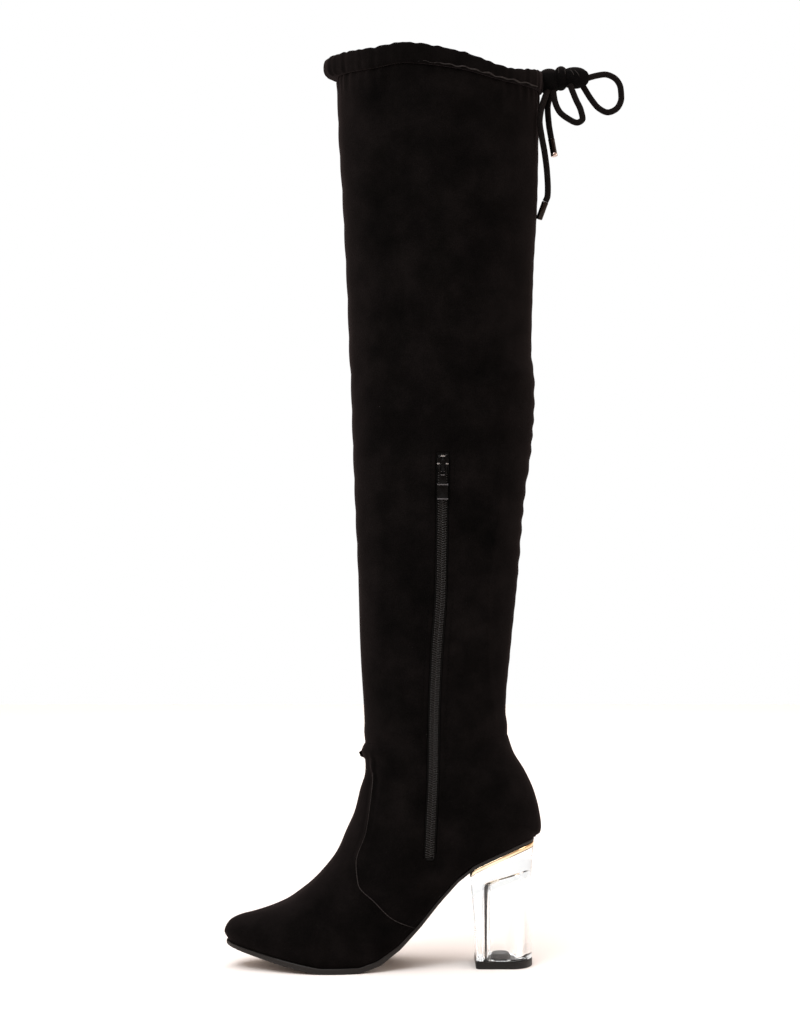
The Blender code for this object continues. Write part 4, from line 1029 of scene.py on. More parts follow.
def skin_shape(place, rise, on_foot):
    """Open sheet of the skin with its relief and its slot."""
    angle = column_angles(place, rise)
    share = (1 - np.cos(angle)) / 2
    x, z = place(share, rise[:, None])
    smooth = skin_points(x, z, angle < math.pi)
    grid = smooth + out_from(smooth) * relief(smooth, angle, on_foot, rise[:, None])[..., None]
    quads = lattice(*grid.shape[:2], True)
    points = grid.reshape(-1, 3)
    if volume_sign(points, quads) < 0:
        quads = quads[:, ::-1]
    start = sum(COLUMN_COUNTS[:2])
    column = np.tile(np.arange(grid.shape[1]), grid.shape[0] - 1)
    height = smooth[..., 2][:, start + 2]
    inside = (height[:-1] >= ZIP_END - 0.2) & (height[1:] <= ZIP_TOP + 0.2)
    gone = np.repeat(inside, grid.shape[1]) & (column >= start) & (column < start + COLUMN_COUNTS[2])
    quads = quads[~gone]
    used, quads = np.unique(quads, return_inverse=True)
    return points[used], quads.reshape(-1, 4).tolist()


foot_rise = row_heights(foot_place, np.linspace(0.0, 1.0, 74) ** 1.3, ZIP_END)
shaft_rise = row_heights(shaft_place, np.linspace(0.0, 1.0, 205), ZIP_TOP)
upper_shape = skin_shape(foot_place, foot_rise, True)
shaft_shape = skin_shape(shaft_place, shaft_rise, False)
add_piece("upper_velvet", upper_shape, velvet, ["upper"], wall=WALL)
add_piece("shaft_velvet", shaft_shape, velvet, ["shaft"], wall=WALL)

# %% [markdown]
# ## The vamp seam
#
# The vamp and the quarter are joined by a seam that is turned and pressed, so a thin line of flat nap runs
# down from the ankle and sweeps back under the arch. Its lighter colour is a painted highlight. It is a tube
# on the skin along the same chosen points as the relief, and thicker on its lower half, where the photo
# shows it best.

# %% Vamp seam
SEAM_RISE = 0.62
SEAM_RADII = ((0.0, 0.05), (0.12, 0.30), (0.35, 0.16), (0.62, 0.36), (0.88, 0.34), (1.0, 0.05))


def seam_shape():
    """Tube of a changing radius along the seam, half sunk in the raised skin."""
    x, z = path_through(VAMP_SEAM, 200).T
    line = np.stack([x, skin_sides(x, z)[0], z], axis=-1)
    beside = np.stack([x + 1.0, skin_sides(x + 1.0, z)[0], z], axis=-1) - line
    above = np.stack([x, skin_sides(x, z + 1.0)[0], z + 1.0], axis=-1) - line
    outward = np.cross(beside, above)
    outward /= np.linalg.norm(outward, axis=1, keepdims=True)
    line = line + outward * SEAM_RISE
    radius = through(SEAM_RADII, np.linspace(0.0, 1.0, len(line)))
    return loft(sweep(line, np.array([1.0, 0.0, 0.0]), radius, 8))


# drawn in the pressed velvet, whose lighter colour is a painted highlight along the seam
add_piece("vamp_seam_edge", seam_shape(), painted_highlight_nap, sharp=80)

# %% [markdown]
# ## The drawstring casing
#
# The top edge is rolled over into a tunnel for the drawstring and stitched down. Drawing it in gathers
# the velvet, so the tunnel has small pleats that are deepest at its stitched lower edge, and it stands
# out in a lump in front, where the cord is bunched.

# %% Casing
CASING_COLUMNS, CASING_TURNS, BUMP_REACH = 420, 26, 16.0


def plan_outward(loop):
    """Unit normals, in plan, of a loop round the boot."""
    ahead = np.roll(loop, -1, axis=0)[:, :2] - np.roll(loop, 1, axis=0)[:, :2]
    ahead /= np.linalg.norm(ahead, axis=1, keepdims=True)
    outward = np.column_stack([ahead[:, 1], -ahead[:, 0]])
    return outward * np.sign((outward * (loop[:, :2] - [SHAFT_AXIS, 0.0])).sum(axis=1))[:, None]


def casing_shape():
    """Ring with a rounded oblong section: (|cos|^0.7, |sin|^0.8) times half its thickness and height."""
    angle = np.linspace(0.0, 2 * math.pi, CASING_COLUMNS, endpoint=False)
    share, inner = (1 - np.cos(angle)) / 2, angle < math.pi
    loop = skin_points(*shaft_place(share, 1.0), inner)
    outward = plan_outward(loop)
    bump = CASING_BUMP * bell(np.linalg.norm(loop[:, :2] - loop[0, :2], axis=1), BUMP_REACH)
    high = CASING_HEIGHT * through(COLLAR_LINE, share, 2)
    turn = np.linspace(0, 2 * math.pi, CASING_TURNS, endpoint=False)[:, None]
    out = np.sign(np.cos(turn)) * np.abs(np.cos(turn)) ** 0.7
    lift = np.sign(np.sin(turn)) * np.abs(np.sin(turn)) ** 0.8
    pleats = gathers(angle) + 0.5 * np.sin(73 * angle + 1.0)
    gather = 0.30 * pleats * (0.35 + 0.65 * ease((0.2 - lift) / 1.0))
    reach = (CASING_THICK / 2) * out + (CASING_THICK / 2 - WALL) + bump * np.maximum(out, 0.0)
    reach = reach + gather * np.maximum(out, 0.15)
    level = loop[:, 2] + GAP + high / 2 * (1 + lift) + 0.25 * pleats * (lift > 0.5) - 1.4 * ease(-lift)
    flat = loop[:, :2] + outward * reach[..., None]
    return np.concatenate([flat, level[..., None]], axis=-1)


def ring_faces(grid):
    """Closed grid both ways: the last row is joined to the first."""
    rows, columns = grid.shape[:2]
    quads = lattice(rows + 1, columns, True) % (rows * columns)
    points = grid.reshape(-1, 3)
    if volume_sign(points, quads) < 0:
        quads = quads[:, ::-1]
    return points, quads.tolist()


add_piece("casing_velvet", ring_faces(casing_shape()), velvet, ["collar_casing"], sharp=70)

# %% [markdown]
# ## The gathered edge
#
# Where the casing is stitched down, its gathers stand up in a thin wavy edge whose nap lies flat and
# shines. It shows on the inner side and fades out towards the front, so it is a tube along the seam with
# a radius that does the same, in a lighter velvet whose colour is a painted highlight.

# %% Gathered edge
EDGE_FROM, EDGE_TO, EDGE_RISE, EDGE_OUT = 0.40, 0.97, 0.5, 1.9


def edge_shape():
    """Tube along the seam on the inner side: wavy by two sines of the share, thickest behind the middle."""
    share = np.linspace(EDGE_FROM, EDGE_TO, 240)
    line = skin_points(*shaft_place(share, 1.0), True)
    ahead = np.gradient(line, axis=0)
    outward = np.stack([ahead[:, 1], -ahead[:, 0], 0 * share], axis=-1)
    outward /= np.linalg.norm(outward, axis=1, keepdims=True)
    outward *= np.sign((outward[:, 1] * line[:, 1]).sum())
    wave = np.sin(105 * share) + 0.6 * np.sin(61 * share + 1.0)
    line = line + outward * (EDGE_OUT + 0.2 * wave)[:, None]
    line[:, 2] += EDGE_RISE + 0.35 * wave
    radius = 0.12 + 0.42 * window(share, 0.62, 0.90, 0.2) * (1 + 0.25 * np.sin(88 * share))
    return loft(sweep(line, np.array([0.0, 0.0, 1.0]), radius, 10))


# the pressed velvet's lighter colour is a painted highlight along the gathers
add_piece("casing_gathered_edge", edge_shape(), painted_highlight_nap, sharp=80)

# %% [markdown]
# ## Outsole
#
# The outsole is cut from a sheet of hard black rubber, thin at the waist and full under the ball, with a
# rounded lower edge. It is a grid across the sole at three levels, closed by a wall round its rim.

# %% Outsole


def stack_shape(layers):
    """Closed solid between the first and the last of several grids, with a wall through all their rims."""
    layers = np.asarray(layers, float)
    count, rows, columns = layers.shape[:3]
    size = rows * columns
    flat = lattice(rows, columns, False)
    index = np.arange(size).reshape(rows, columns)
    edge = np.concatenate([index[0], index[1:, -1], index[-1, -2::-1], index[-2:0:-1, 0]])
    after = np.roll(edge, -1)
    level = (np.arange(count - 1) * size)[:, None]
    wall = np.stack([edge + level, edge + level + size, after + level + size, after + level], axis=-1)
    quads = np.concatenate([flat, flat[:, ::-1] + (count - 1) * size, wall.reshape(-1, 4)])
    points = layers.reshape(-1, 3)
    points, index = np.unique(np.round(points, 5), axis=0, return_inverse=True)
    quads = index.reshape(-1)[quads]
    if volume_sign(points, quads) < 0:
        quads = quads[:, ::-1]
    faces = [list(dict.fromkeys(quad)) for quad in quads.tolist()]
    return points, [face for face in faces if len(face) > 2]


cube = np.mgrid[0:2, 0:2, 0:2].transpose(1, 2, 3, 0)
print("a block of two 2 by 2 grids has", len(stack_shape(cube)[1]), "faces")

# %% Grid over the sole


def half_shares(half):
    """Shares from the front to the back round the boot, closest at both ends, and the side of each."""
    angle = np.linspace(0.0, 2 * math.pi, 2 * half, endpoint=False)
    return (1 - np.cos(angle)) / 2, angle < math.pi


def sole_height(x, lift):
    """Height of the sole's line at a lift, going on straight past its two ends."""
    station = sole_station((1 - np.cos(np.linspace(0, math.pi, 25))) / 2)
    line_x, line_z = sole_point(station, lift(station))
    first = (line_z[1] - line_z[0]) / (line_x[1] - line_x[0])
    last = (line_z[-1] - line_z[-2]) / (line_x[-1] - line_x[-2])
    height = np.interp(x, line_x, line_z) + np.minimum(x - line_x[0], 0.0) * first
    return height + np.maximum(x - line_x[-1], 0.0) * last


def sole_grid(lift, outset, half=110, across=17):
    """Grid over the sole at a lift above its underside, its outline moved out by outset."""
    share, inner = half_shares(half)
    x, z = featherline(share)
    loop = skin_points(x, z, inner)[:, :2]
    moved = loop + plan_outward(loop) * np.reshape(outset(sole_station(share)), (-1, 1))
    near, far = moved[: half + 1], np.vstack([moved[:1], moved[: half - 1 : -1]])
    side = np.linspace(0.0, 1.0, across)[None, :, None]
    plan = near[:, None, :] * (1 - side) + far[:, None, :] * side
    return np.concatenate([plan, sole_height(plan[..., 0], lift)[..., None]], axis=-1)


def edge_outset(station):
    """The outsole stands out a little from the upper round the forefoot only."""
    return SOLE_EDGE * ease((station - 0.45) / 0.15)


# %% Rubber, and the outsole
RUBBER_GRAIN = 0.9


def make_rubber(name, dark, light, rough):
    """Moulded black rubber with a fine grain 0.1 mm deep."""
    made, tree, shader, grain = speckled(
        name, 1 / (RUBBER_GRAIN * MM), 3.0, (0.3, dark), (0.8, light), Roughness=rough, Specular_IOR_Level=0.3
    )
    plug(tree, shader, Normal=node(tree, BUMP, Strength=0.3, Distance=0.1 * MM, Height=grain).outputs[0])
    return made


sole_rubber = make_rubber("hard black sole rubber", "0b0a09", "151211", 0.55)
tip_rubber = make_rubber("heel tip rubber", "0a0a0a", "121212", 0.5)
SOLE_LAYERS = (
    # share of the thickness, and how far the edge stands in
    (0.00, 0.9), (0.06, 0.45), (0.18, 0.12), (0.35, 0.0), (0.80, 0.0), (0.94, 0.12), (1.00, 0.4),
)
sole_shape = stack_shape([
    sole_grid(lambda s, k=share: k * sole_thickness(s), lambda s, d=inset: edge_outset(s) - d)
    for share, inset in SOLE_LAYERS
])
add_piece("outsole_rubber", sole_shape, sole_rubber, ["outsole"])

# %% [markdown]
# ## Heel
#
# The heel is cast in clear acrylic round a hollow core, polished, and glued under a thin gold coloured
# plate. The core is what the eye reads inside it: its walls bend the light, so they draw dark upright
# bands. One loft goes up the core, down its wall, across the bottom and up the outside, so the block is
# a single closed body with an air core. The tip's plug closes the core.

# %% Heel sizes
TIP_THICK, PLATE_THICK, PLUG_HEIGHT, PLUG_CLEAR = 5.5, 3.0, 4.0, 4.4
HEEL_FRONT, HEEL_BACK, HEEL_BREAST, HEEL_SEAT_BACK = 20.8, 20.8, 25.2, 22.0
HEEL_HALF_LOW, HEEL_HALF_TOP, HEEL_ROUND_LOW, HEEL_ROUND_TOP, HEEL_CORNER = 21.6, 26.5, 15.0, 26.0, 3.0
CORE_FRONT, CORE_BACK, CORE_HALF, CORE_TOP, CORE_SQUARE = -16.4, 11.2, 14.0, 66.0, 2.6
HEEL_LINE = (
    (0.00, 0.00, 0.00, 0.00), (0.35, 0.30, -0.40, 0.10), (0.70, 0.62, -0.40, 0.40), (0.88, 0.85, 0.15, 0.75),
    (1.00, 1.00, 1.00, 1.00),
)
HEEL_AROUND = 200


def resample(loop, count):
    """A closed loop again with even spacing, from the same first point."""
    closed = np.vstack([loop, loop[:1]])
    run = np.concatenate([[0.0], np.cumsum(np.linalg.norm(np.diff(closed, axis=0), axis=1))])
    wanted = np.linspace(0.0, run[-1], count, endpoint=False)
    return np.column_stack([np.interp(wanted, run, column) for column in closed.T])


def heel_loop(level, inset=0.0):
    """Plan of the heel at a level: straight at the breast with round corners, round at the back."""
    grow = [through(HEEL_LINE, level, column) for column in (1, 2, 3)]
    front = -(HEEL_FRONT + (HEEL_BREAST - HEEL_FRONT) * grow[0]) + inset
    back = HEEL_BACK + (HEEL_SEAT_BACK - HEEL_BACK) * grow[1] - inset
    half = HEEL_HALF_LOW + (HEEL_HALF_TOP - HEEL_HALF_LOW) * grow[2] - inset
    bend = HEEL_ROUND_LOW + (HEEL_ROUND_TOP - HEEL_ROUND_LOW) * level
    x = front + (back - front) * (1 - np.cos(np.linspace(0, math.pi, 300))) / 2
    width = half - HEEL_CORNER + HEEL_CORNER * quarter_round((x - front) / HEEL_CORNER)
    width = width * quarter_round((back - x) / bend)
    near = np.column_stack([x, -width])
    far = np.column_stack([x, width])[-2:0:-1]
    loop = np.vstack([[[front, 0.0]], near, far, [[front, width[0]]]])
    return resample(loop, HEEL_AROUND)


def core_loop(grow=0.0):
    """Plan of the core: a rounded oblong, |x|^2.6 + |y|^2.6 = 1 in its own half sizes, from its front."""
    angle = np.linspace(0, 2 * math.pi, 600, endpoint=False) + math.pi
    c, s = np.cos(angle), np.sin(angle)
    squared = (np.abs(c) ** CORE_SQUARE + np.abs(s) ** CORE_SQUARE) ** (-1 / CORE_SQUARE)
    half_x = (CORE_BACK - CORE_FRONT) / 2 + grow
    loop = np.column_stack([
        (CORE_FRONT + CORE_BACK) / 2 + half_x * squared * c, (CORE_HALF + grow) * squared * s
    ])
    return resample(loop, HEEL_AROUND)


def seat_height(x):
    """Underside of the sole over the heel."""
    return sole_height(x, lambda station: 0 * station)


def raise_loop(loop, height):
    """A plan loop lifted to a height, which may depend on x."""
    return np.column_stack([loop, height(loop[:, 0]) + 0 * loop[:, 0]])


print("the heel is", HEEL_FRONT + HEEL_BACK, "mm deep at its tip")

# %% [markdown]
# ## The clear block
#
# A real block is cast in a mould, so its core, rim and outside are one surface. It could be cut out of a
# solid with a boolean, which leaves long thin faces that show in clear plastic. One loft from the core's
# roof, down its wall and up the outside has even faces, and the light bends through it cleanly.

# %% Clear block
BLOCK_LOW = TIP_THICK + GAP
CORE_SLOPE = 0.7 * (seat_height(CORE_BACK) - seat_height(CORE_FRONT)) / (CORE_BACK - CORE_FRONT)


def block_height(level, drop=0.0):
    """Height of a level of the block, from its flat underside to the slope of the seat."""
    return lambda x: BLOCK_LOW + level * (seat_height(x) - 2 * GAP - PLATE_THICK - BLOCK_LOW) - drop


def core_top(drop):
    """The core's roof slopes like the seat, only less."""
    return lambda x: CORE_TOP + CORE_SLOPE * (x - (CORE_FRONT + CORE_BACK) / 2) - drop


# each row: how far a loop is drawn in or out, and how far it drops
CORE_ROOF = [(-3.0 - 2.0 * k, -0.15 * k) for k in (3, 2, 1, 0)] + [(-1.4, 0.35), (-0.4, 1.4), (0.0, 3.0)]
LOW_EDGE, HIGH_EDGE = ((0.6, 0.0), (0.15, -0.2)), ((0.2, 0.1), (0.7, 0.0))
core_low = BLOCK_LOW + 0.6
block_loops = [raise_loop(core_loop(grow), core_top(drop)) for grow, drop in CORE_ROOF]
block_loops += [
    raise_loop(core_loop(), lambda x, k=k: core_low + k * (core_top(3.0)(x) - core_low))
    for k in np.linspace(0.9, 0.0, 8)
]
block_loops += [raise_loop(core_loop(0.5), block_height(0.0))]
block_loops += [raise_loop(heel_loop(0.0, inset), block_height(0.0, drop)) for inset, drop in LOW_EDGE]
block_loops += [raise_loop(heel_loop(k), block_height(k)) for k in np.linspace(0.012, 0.988, 26)]
block_loops += [raise_loop(heel_loop(1.0, inset), block_height(1.0, drop)) for inset, drop in HIGH_EDGE]
block_loops += [raise_loop(heel_loop(1.0) * k, block_height(1.0)) for k in (0.7, 0.4, 0.15)]


def make_acrylic():
    """Cast acrylic: IOR 1.49, clear, with the faint waviness of hand polishing."""
    made, tree, shader, place = new_material("clear cast acrylic")
    wave = node(tree, NOISE, Vector=place, Scale=60.0, Detail=1.0).outputs["Fac"]
    waves = node(tree, BUMP, Strength=0.12, Distance=0.2 * MM, Height=wave).outputs[0]
    plug(tree, shader, Base_Color=srgb("fdfefe"), Normal=waves)
    plug(tree, shader, Roughness=0.02, IOR=1.49, Transmission_Weight=1.0)
    return made


add_piece("heel_clear", loft(np.array(block_loops)), make_acrylic(), ["heel_block"], sharp=30)

# %% [markdown]
# ## The gold plate and the rubber tip
#
# A thin plate of gold coloured metal covers the top of the heel, and a rubber top piece closes its foot. Both
# could be copies of the block's outline with a thickness. They are lofts of the same loops as the block, so
# they meet it all round, with a small round edge at each face, which is what catches the light.

# %% Gold plate and rubber tip


def make_gold():
    """Gold coloured plate: polished, with a faint brushed grain round it, and a painted reflection, warmer
    towards its back.
    """
    made, tree, shader, place = new_material("polished gold plate")
    stretch = node(tree, "ShaderNodeMapping", Vector=place, Scale=(60.0, 60.0, 1400.0)).outputs[0]
    grain = node(tree, NOISE, Vector=stretch, Scale=1.0, Detail=2.0).outputs["Fac"]
    # painted reflection: the colour goes from pale f9efd2 in front to warmer ecc996 towards the back
    along = node(tree, "ShaderNodeSeparateXYZ", Vector=place).outputs["X"]
    behind = node(tree, RANGE, Value=along, From_Min=-8.0 * MM, From_Max=22.0 * MM).outputs[0]
    warm = {"i6": srgb("f9efd2"), "i7": srgb("ecc996")}
    colour = node(tree, MIX, {"data_type": "RGBA"}, i0=behind, **warm).outputs[2]
    rough = node(tree, RANGE, Value=grain, To_Min=0.14, To_Max=0.30).outputs[0]
    plug(tree, shader, Base_Color=colour, Roughness=rough, Metallic=1.0)
    return made


def plate_face(drop):
    """Height of the plate at a drop below its upper face."""
    return lambda x: seat_height(x) - GAP - drop


plate_loops = [raise_loop(heel_loop(1.0) * k, plate_face(PLATE_THICK)) for k in (0.2, 0.6)]
plate_loops += [
    raise_loop(heel_loop(1.0, inset), plate_face(drop))
    for inset, drop in ((0.5, 3.0), (0.15, 2.85), (0.0, 2.5), (0.0, 0.5), (0.15, 0.15), (0.5, 0.0))
]
plate_loops += [raise_loop(heel_loop(1.0) * k, plate_face(0.0)) for k in (0.6, 0.2)]
add_piece("heel_plate_gold", loft(np.array(plate_loops)), make_gold(), ["heel_plate"])

tip_loops = [raise_loop(heel_loop(0.0) * k, lambda x: 0.0) for k in (0.3, 0.7)]
tip_loops += [
    raise_loop(heel_loop(0.0, inset), lambda x, z=z: z)
    for inset, z in ((0.7, 0.0), (0.2, 0.2), (0.0, 0.7), (0.0, 5.1), (0.1, 5.4), (0.4, 5.5))
]
tip_loops += [
    raise_loop(core_loop(-PLUG_CLEAR - inset), lambda x, z=z: TIP_THICK + z * PLUG_HEIGHT)
    for inset, z in ((0.0, 0.02), (0.0, 0.45), (0.3, 0.7), (1.0, 0.9), (2.2, 1.0), (4.5, 1.0))
]
add_piece("heel_tip_rubber", loft(np.array(tip_loops)), tip_rubber, ["heel_tip"])

# %% [markdown]
# ## The zip
#
# It is a nylon coil zip, size 5: two coils of stiff filament, sewn to two tapes, whose loops lock in the
# middle. Each coil is a helix of 0.6 mm wire with a flat oval turn every 1.7 mm, one shifted by half a
# turn. A tube carried along the helix gives the three rows of glints that the eye reads as a zip.

# %% Zip frame and coils
CHAIN_THICK, CHAIN_PROUD, CHAIN_HALF, COIL_PITCH, COIL_WIRE = 1.3, 0.2, 3.5, 1.7, 0.6


def zip_frame(height, offset=0.0):
    """Skin point beside the zip's line at a height, and its across, up and outward directions."""
    def skin(px, pz):
        return np.stack([px, skin_sides(px, pz)[0], pz], axis=-1)

    x, step = zip_place(height) + offset, 1.5
    here = skin(x, height)
    up = skin(zip_place(height + step) + offset, height + step)
    up = up - skin(zip_place(height - step) + offset, height - step)
    along = skin(x + step, height) - skin(x - step, height)
    up /= np.linalg.norm(up, axis=-1, keepdims=True)
    outward = np.cross(along, up)
    outward /= np.linalg.norm(outward, axis=-1, keepdims=True)
    return here, np.cross(up, outward), up, outward


def zip_at(height, across, out):
    """World point at a height on the zip, so far across and so far out of the skin."""
    fine = np.linspace(ZIP_END - 6, ZIP_TOP + 6, 200)
    here, sideways, _, outward = (
        np.column_stack([np.interp(height, fine, column) for column in part.T]) for part in zip_frame(fine)
    )
    return here + sideways * np.reshape(across, (-1, 1)) + outward * np.reshape(out, (-1, 1))


print("the zip's line is", round(float(ZIP_TOP - ZIP_END), 1), "mm high")

# %% Coils


def coil(side, phase):
    """Helix: across goes from the middle to the edge, out rises and falls, once each pitch."""
    low, high = ZIP_END + 1.8, ZIP_TOP - 1.8
    turns = (high - low) / COIL_PITCH
    t = np.linspace(0.0, turns, int(turns * 12)) * 2 * math.pi + phase
    middle = CHAIN_PROUD - CHAIN_THICK / 2
    reach = CHAIN_HALF - COIL_WIRE / 2
    swing = 0.5 * (1 - np.cos(t)) * (reach + 0.35) - 0.35
    height = low + (t - phase) / (2 * math.pi) * COIL_PITCH
    line = zip_at(height, side * swing, middle + (CHAIN_THICK - COIL_WIRE) / 2 * np.sin(t))
    return loft(sweep(line, np.array([0.0, 0.0, 1.0]), COIL_WIRE / 2, 6))


# black nylon filament: smooth, with a soft gloss
nylon = speckled(
    "black nylon filament", 1500.0, 1.0, (0.3, "050505"), (0.8, "0c0c0c"),
    Roughness=0.2, IOR=1.53, Specular_IOR_Level=0.36,
)[0]
coils = join([coil(-1.0, 0.0), coil(1.0, math.pi)])
add_piece("zip_coils", coils, nylon, ["zip_chain"], sharp=80)

# %% [markdown]
# ## Slider and pull
#
# The slider is a die-cast body in glossy black plate: a shield that is wider at the top, with a raised
# bridge down its middle. The pull hangs on the bridge: a narrow neck with an eye, and a tab with a raised
# bar across its top and its end, whose glints are painted as lighter metal. The slider stays closed at
# the top of the zip, and the pull turns about the bridge's middle, where the CAD's joint is.

# %% Slider
SLIDER_HEIGHT, SLIDER_LENGTH, SLIDER_WIDTH, SLIDER_PLATE = 364.0, 11.5, 8.8, 1.6
BRIDGE_RISE, BRIDGE_WIRE = 1.7, 1.6
PULL_LENGTH, PULL_WIDTH, PULL_THICK, PULL_EYE, PULL_SHOULDER = 25.5, 7.6, 1.0, 7.4, 13.2
slider_frame = [part[0] for part in zip_frame(np.array([SLIDER_HEIGHT]))]


def on_slider(points):
    """World points from the slider's own (across, outward, up) millimetres."""
    here, across, up, outward = slider_frame
    points = np.asarray(points, float)
    return here + points[..., :1] * across + points[..., 1:2] * outward + points[..., 2:] * up


def plate_loops_of(outline, low, high, edge=0.3):
    """Loops of a flat plate with small round edges: the outline drawn in by edge at both faces."""
    middle = outline.mean(axis=0)
    size = np.abs(outline - middle).max(axis=0)
    loops = []
    faces = ((low, edge), (low + edge, 0.0), (high - edge, 0.0), (high - 0.3 * edge, 0.35 * edge), (high, edge))
    for out, inset in faces:
        drawn = middle + (outline - middle) * (1 - inset / size)
        loops.append(np.column_stack([drawn[:, 0], np.full(len(drawn), out), drawn[:, 1]]))
    return np.array(loops)


def shield(half_top, half_low, low, high):
    """Outline of the slider's plate: round shoulders at the top, drawn in towards the foot."""
    t = np.linspace(0, 2 * math.pi, 48, endpoint=False)
    c, s = np.cos(t), np.sin(t)
    squared = (np.abs(c) ** 3.5 + np.abs(s) ** 3.5) ** (-1 / 3.5)
    up = (low + high) / 2 + (high - low) / 2 * squared * s
    half = half_low + (half_top - half_low) * ease((up - low) / (high - low))
    return np.column_stack([half * squared * c, up])


print("the slider stands", SLIDER_HEIGHT, "mm up")

# %% Slider's body
SLIDER_FOOT, SLIDER_EDGE = 3.1, 0.4
half_long = SLIDER_LENGTH / 2
skin_out = CHAIN_PROUD + GAP
face_out = skin_out + SLIDER_PLATE
slider_outline = shield(SLIDER_WIDTH / 2, SLIDER_FOOT, -half_long, half_long)
slider_parts = [loft(on_slider(plate_loops_of(slider_outline, skin_out, face_out, SLIDER_EDGE)))]
for side in (-1.0, 1.0):
    t = np.linspace(0, 2 * math.pi, 24, endpoint=False)
    wing = np.column_stack([side * 3.9 + 0.45 * np.cos(t), 4.9 * np.sin(t)])
    slider_parts.append(loft(on_slider(plate_loops_of(wing, skin_out - 1.4, skin_out + 0.6, 0.12))))
bridge_out = face_out + BRIDGE_RISE + BRIDGE_WIRE / 2
bridge_line = path_through(
    [
        (0, skin_out + 1.0, 4.5), (0, skin_out + 2.4, 4.4), (0, bridge_out, 2.9), (0, bridge_out + 0.1, 0.0),
        (0, bridge_out, -2.9), (0, skin_out + 2.4, -4.4), (0, skin_out + 1.0, -4.5),
    ],
    34,
)
slider_parts.append(loft(on_slider(sweep(bridge_line, np.array([1.0, 0.0, 0.0]), 1.15, 14, 0.68))))
gunmetal = make_plating("gloss black plating", "050505", "0a0a0b", 0.0)
add_piece("zip_slider_body", join(slider_parts), gunmetal, ["zip_slider"])

# %% [markdown]
# ## The pull
#
# The pull is stamped from sheet 1 mm thick: an eye round the bridge, a neck and a tab. It is its own body,
# because it is the one hard piece that moves. It could be one outline with a hole. Three plates that meet
# give the same shape, and each keeps a clean round edge.

# %% Pull
pivot_out = face_out + BRIDGE_RISE / 2
# raised bars across the tab, drawn further down in a nickel with painted glints
BAR_PLACES, BAR_RADIUS = (-14.2, -24.4), 0.62


def frame_ring(outer, inner, low, high, edge=0.22):
    """Plate with a window: loops go up the outside, over the face, down the window and back."""
    def drawn(loop, inset):
        middle = loop.mean(axis=0)
        return middle + (loop - middle) * (1 - inset / np.abs(loop - middle).max(axis=0))

    rows = [
        (drawn(outer, edge), low), (outer, low + edge), (outer, high - edge), (drawn(outer, edge), high),
        (drawn(inner, -edge), high), (inner, high - edge), (inner, low + edge), (drawn(inner, -edge), low),
    ]
    return np.array([np.column_stack([loop[:, 0], np.full(len(loop), out), loop[:, 1]]) for loop, out in rows])


def oblong(half_wide, low, high, power=5.0, count=40):
    """Rounded oblong outline between two heights."""
    t = np.linspace(0, 2 * math.pi, count, endpoint=False)
    squared = (np.abs(np.cos(t)) ** power + np.abs(np.sin(t)) ** power) ** (-1 / power)
    return np.column_stack([
        half_wide * squared * np.cos(t), (low + high) / 2 + (high - low) / 2 * squared * np.sin(t)
    ])


half_thick = PULL_THICK / 2
pull_end = half_thick - PULL_LENGTH
pull_low, pull_high = pivot_out - half_thick, pivot_out + half_thick
eye_outline = oblong(2.7, -PULL_EYE - 0.9, half_thick)
eye = frame_ring(eye_outline, oblong(1.6, -PULL_EYE + 1.0, -0.55), pull_low, pull_high)
tab = plate_loops_of(oblong(PULL_WIDTH / 2 - 0.1, pull_end, -PULL_SHOULDER, 9.0), pull_low, pull_high, 0.25)
neck_outline = oblong(2.6, -PULL_SHOULDER - 1.0, -PULL_EYE + 0.2)
neck = plate_loops_of(neck_outline, pivot_out - 0.45, pivot_out + 0.45, 0.2)
pull_parts = [ring_faces(on_slider(eye)), loft(on_slider(tab)), loft(on_slider(neck))]
add_piece("zip_pull_tab", join(pull_parts), gunmetal, ["zip_pull"], body="pull")

# %% [markdown]
# ## Painted glints
#
# Small plates of nickel stand for the glints on the black plate: the slider's top lip, its two shoulders,
# the bridge's foot and the two bars of the pull. Each glint is painted into its plate's colour, in a bright
# and a dim nickel, brightest at the top. Each is a small plate with round edges.

# %% Painted glints
# painted highlights: a bright nickel for the glints on the lip and shoulders, a dim one for the bridge's foot
# and the pull
nickel = make_plating("nickel with a painted bright glint", "868686", "a6a6a6")
dim_glint_nickel = make_plating("nickel with a painted dim glint", "4a4a4b", "66666a")


def edge_plate(across, up, half_wide, half_high, low, high):
    """Small plate on the slider at a place across and up."""
    loops = plate_loops_of(oblong(half_wide, -half_high, half_high, 4.0, 24), low, high, 0.15)
    return loft(on_slider(loops + [across, 0.0, up]))


bar_across = np.linspace(-PULL_WIDTH / 2, PULL_WIDTH / 2, 12)
level = np.full(len(bar_across), pivot_out)
bar_lines = [np.column_stack([bar_across, level, 0 * level + up]) for up in BAR_PLACES]
bars = [sweep(line, np.array([0.0, 0.0, 1.0]), BAR_RADIUS, 16) for line in bar_lines]
lips = [edge_plate(0.0, 6.1, 1.6, 0.55, face_out - 0.9, face_out + 0.5)]
lips += [edge_plate(side * 3.05, 0.6, 1.05, 0.45, face_out - 0.5, face_out + 0.3) for side in (-1.0, 1.0)]
add_piece("zip_slider_glint_lips", join(lips), nickel)
foot = [edge_plate(0.0, -4.8, 1.45, 0.4, face_out - 0.2, face_out + 0.9)]
add_piece("zip_bridge_foot_glint", join(foot), dim_glint_nickel)
ribs = [edge_plate(0.0, -7.3, 1.45, 0.35, pivot_out, pivot_out + half_thick + 0.25)]
ribs += [loft(on_slider(loops)) for loops in bars]
add_piece("zip_pull_glint_ribs", join(ribs), dim_glint_nickel, body="pull")

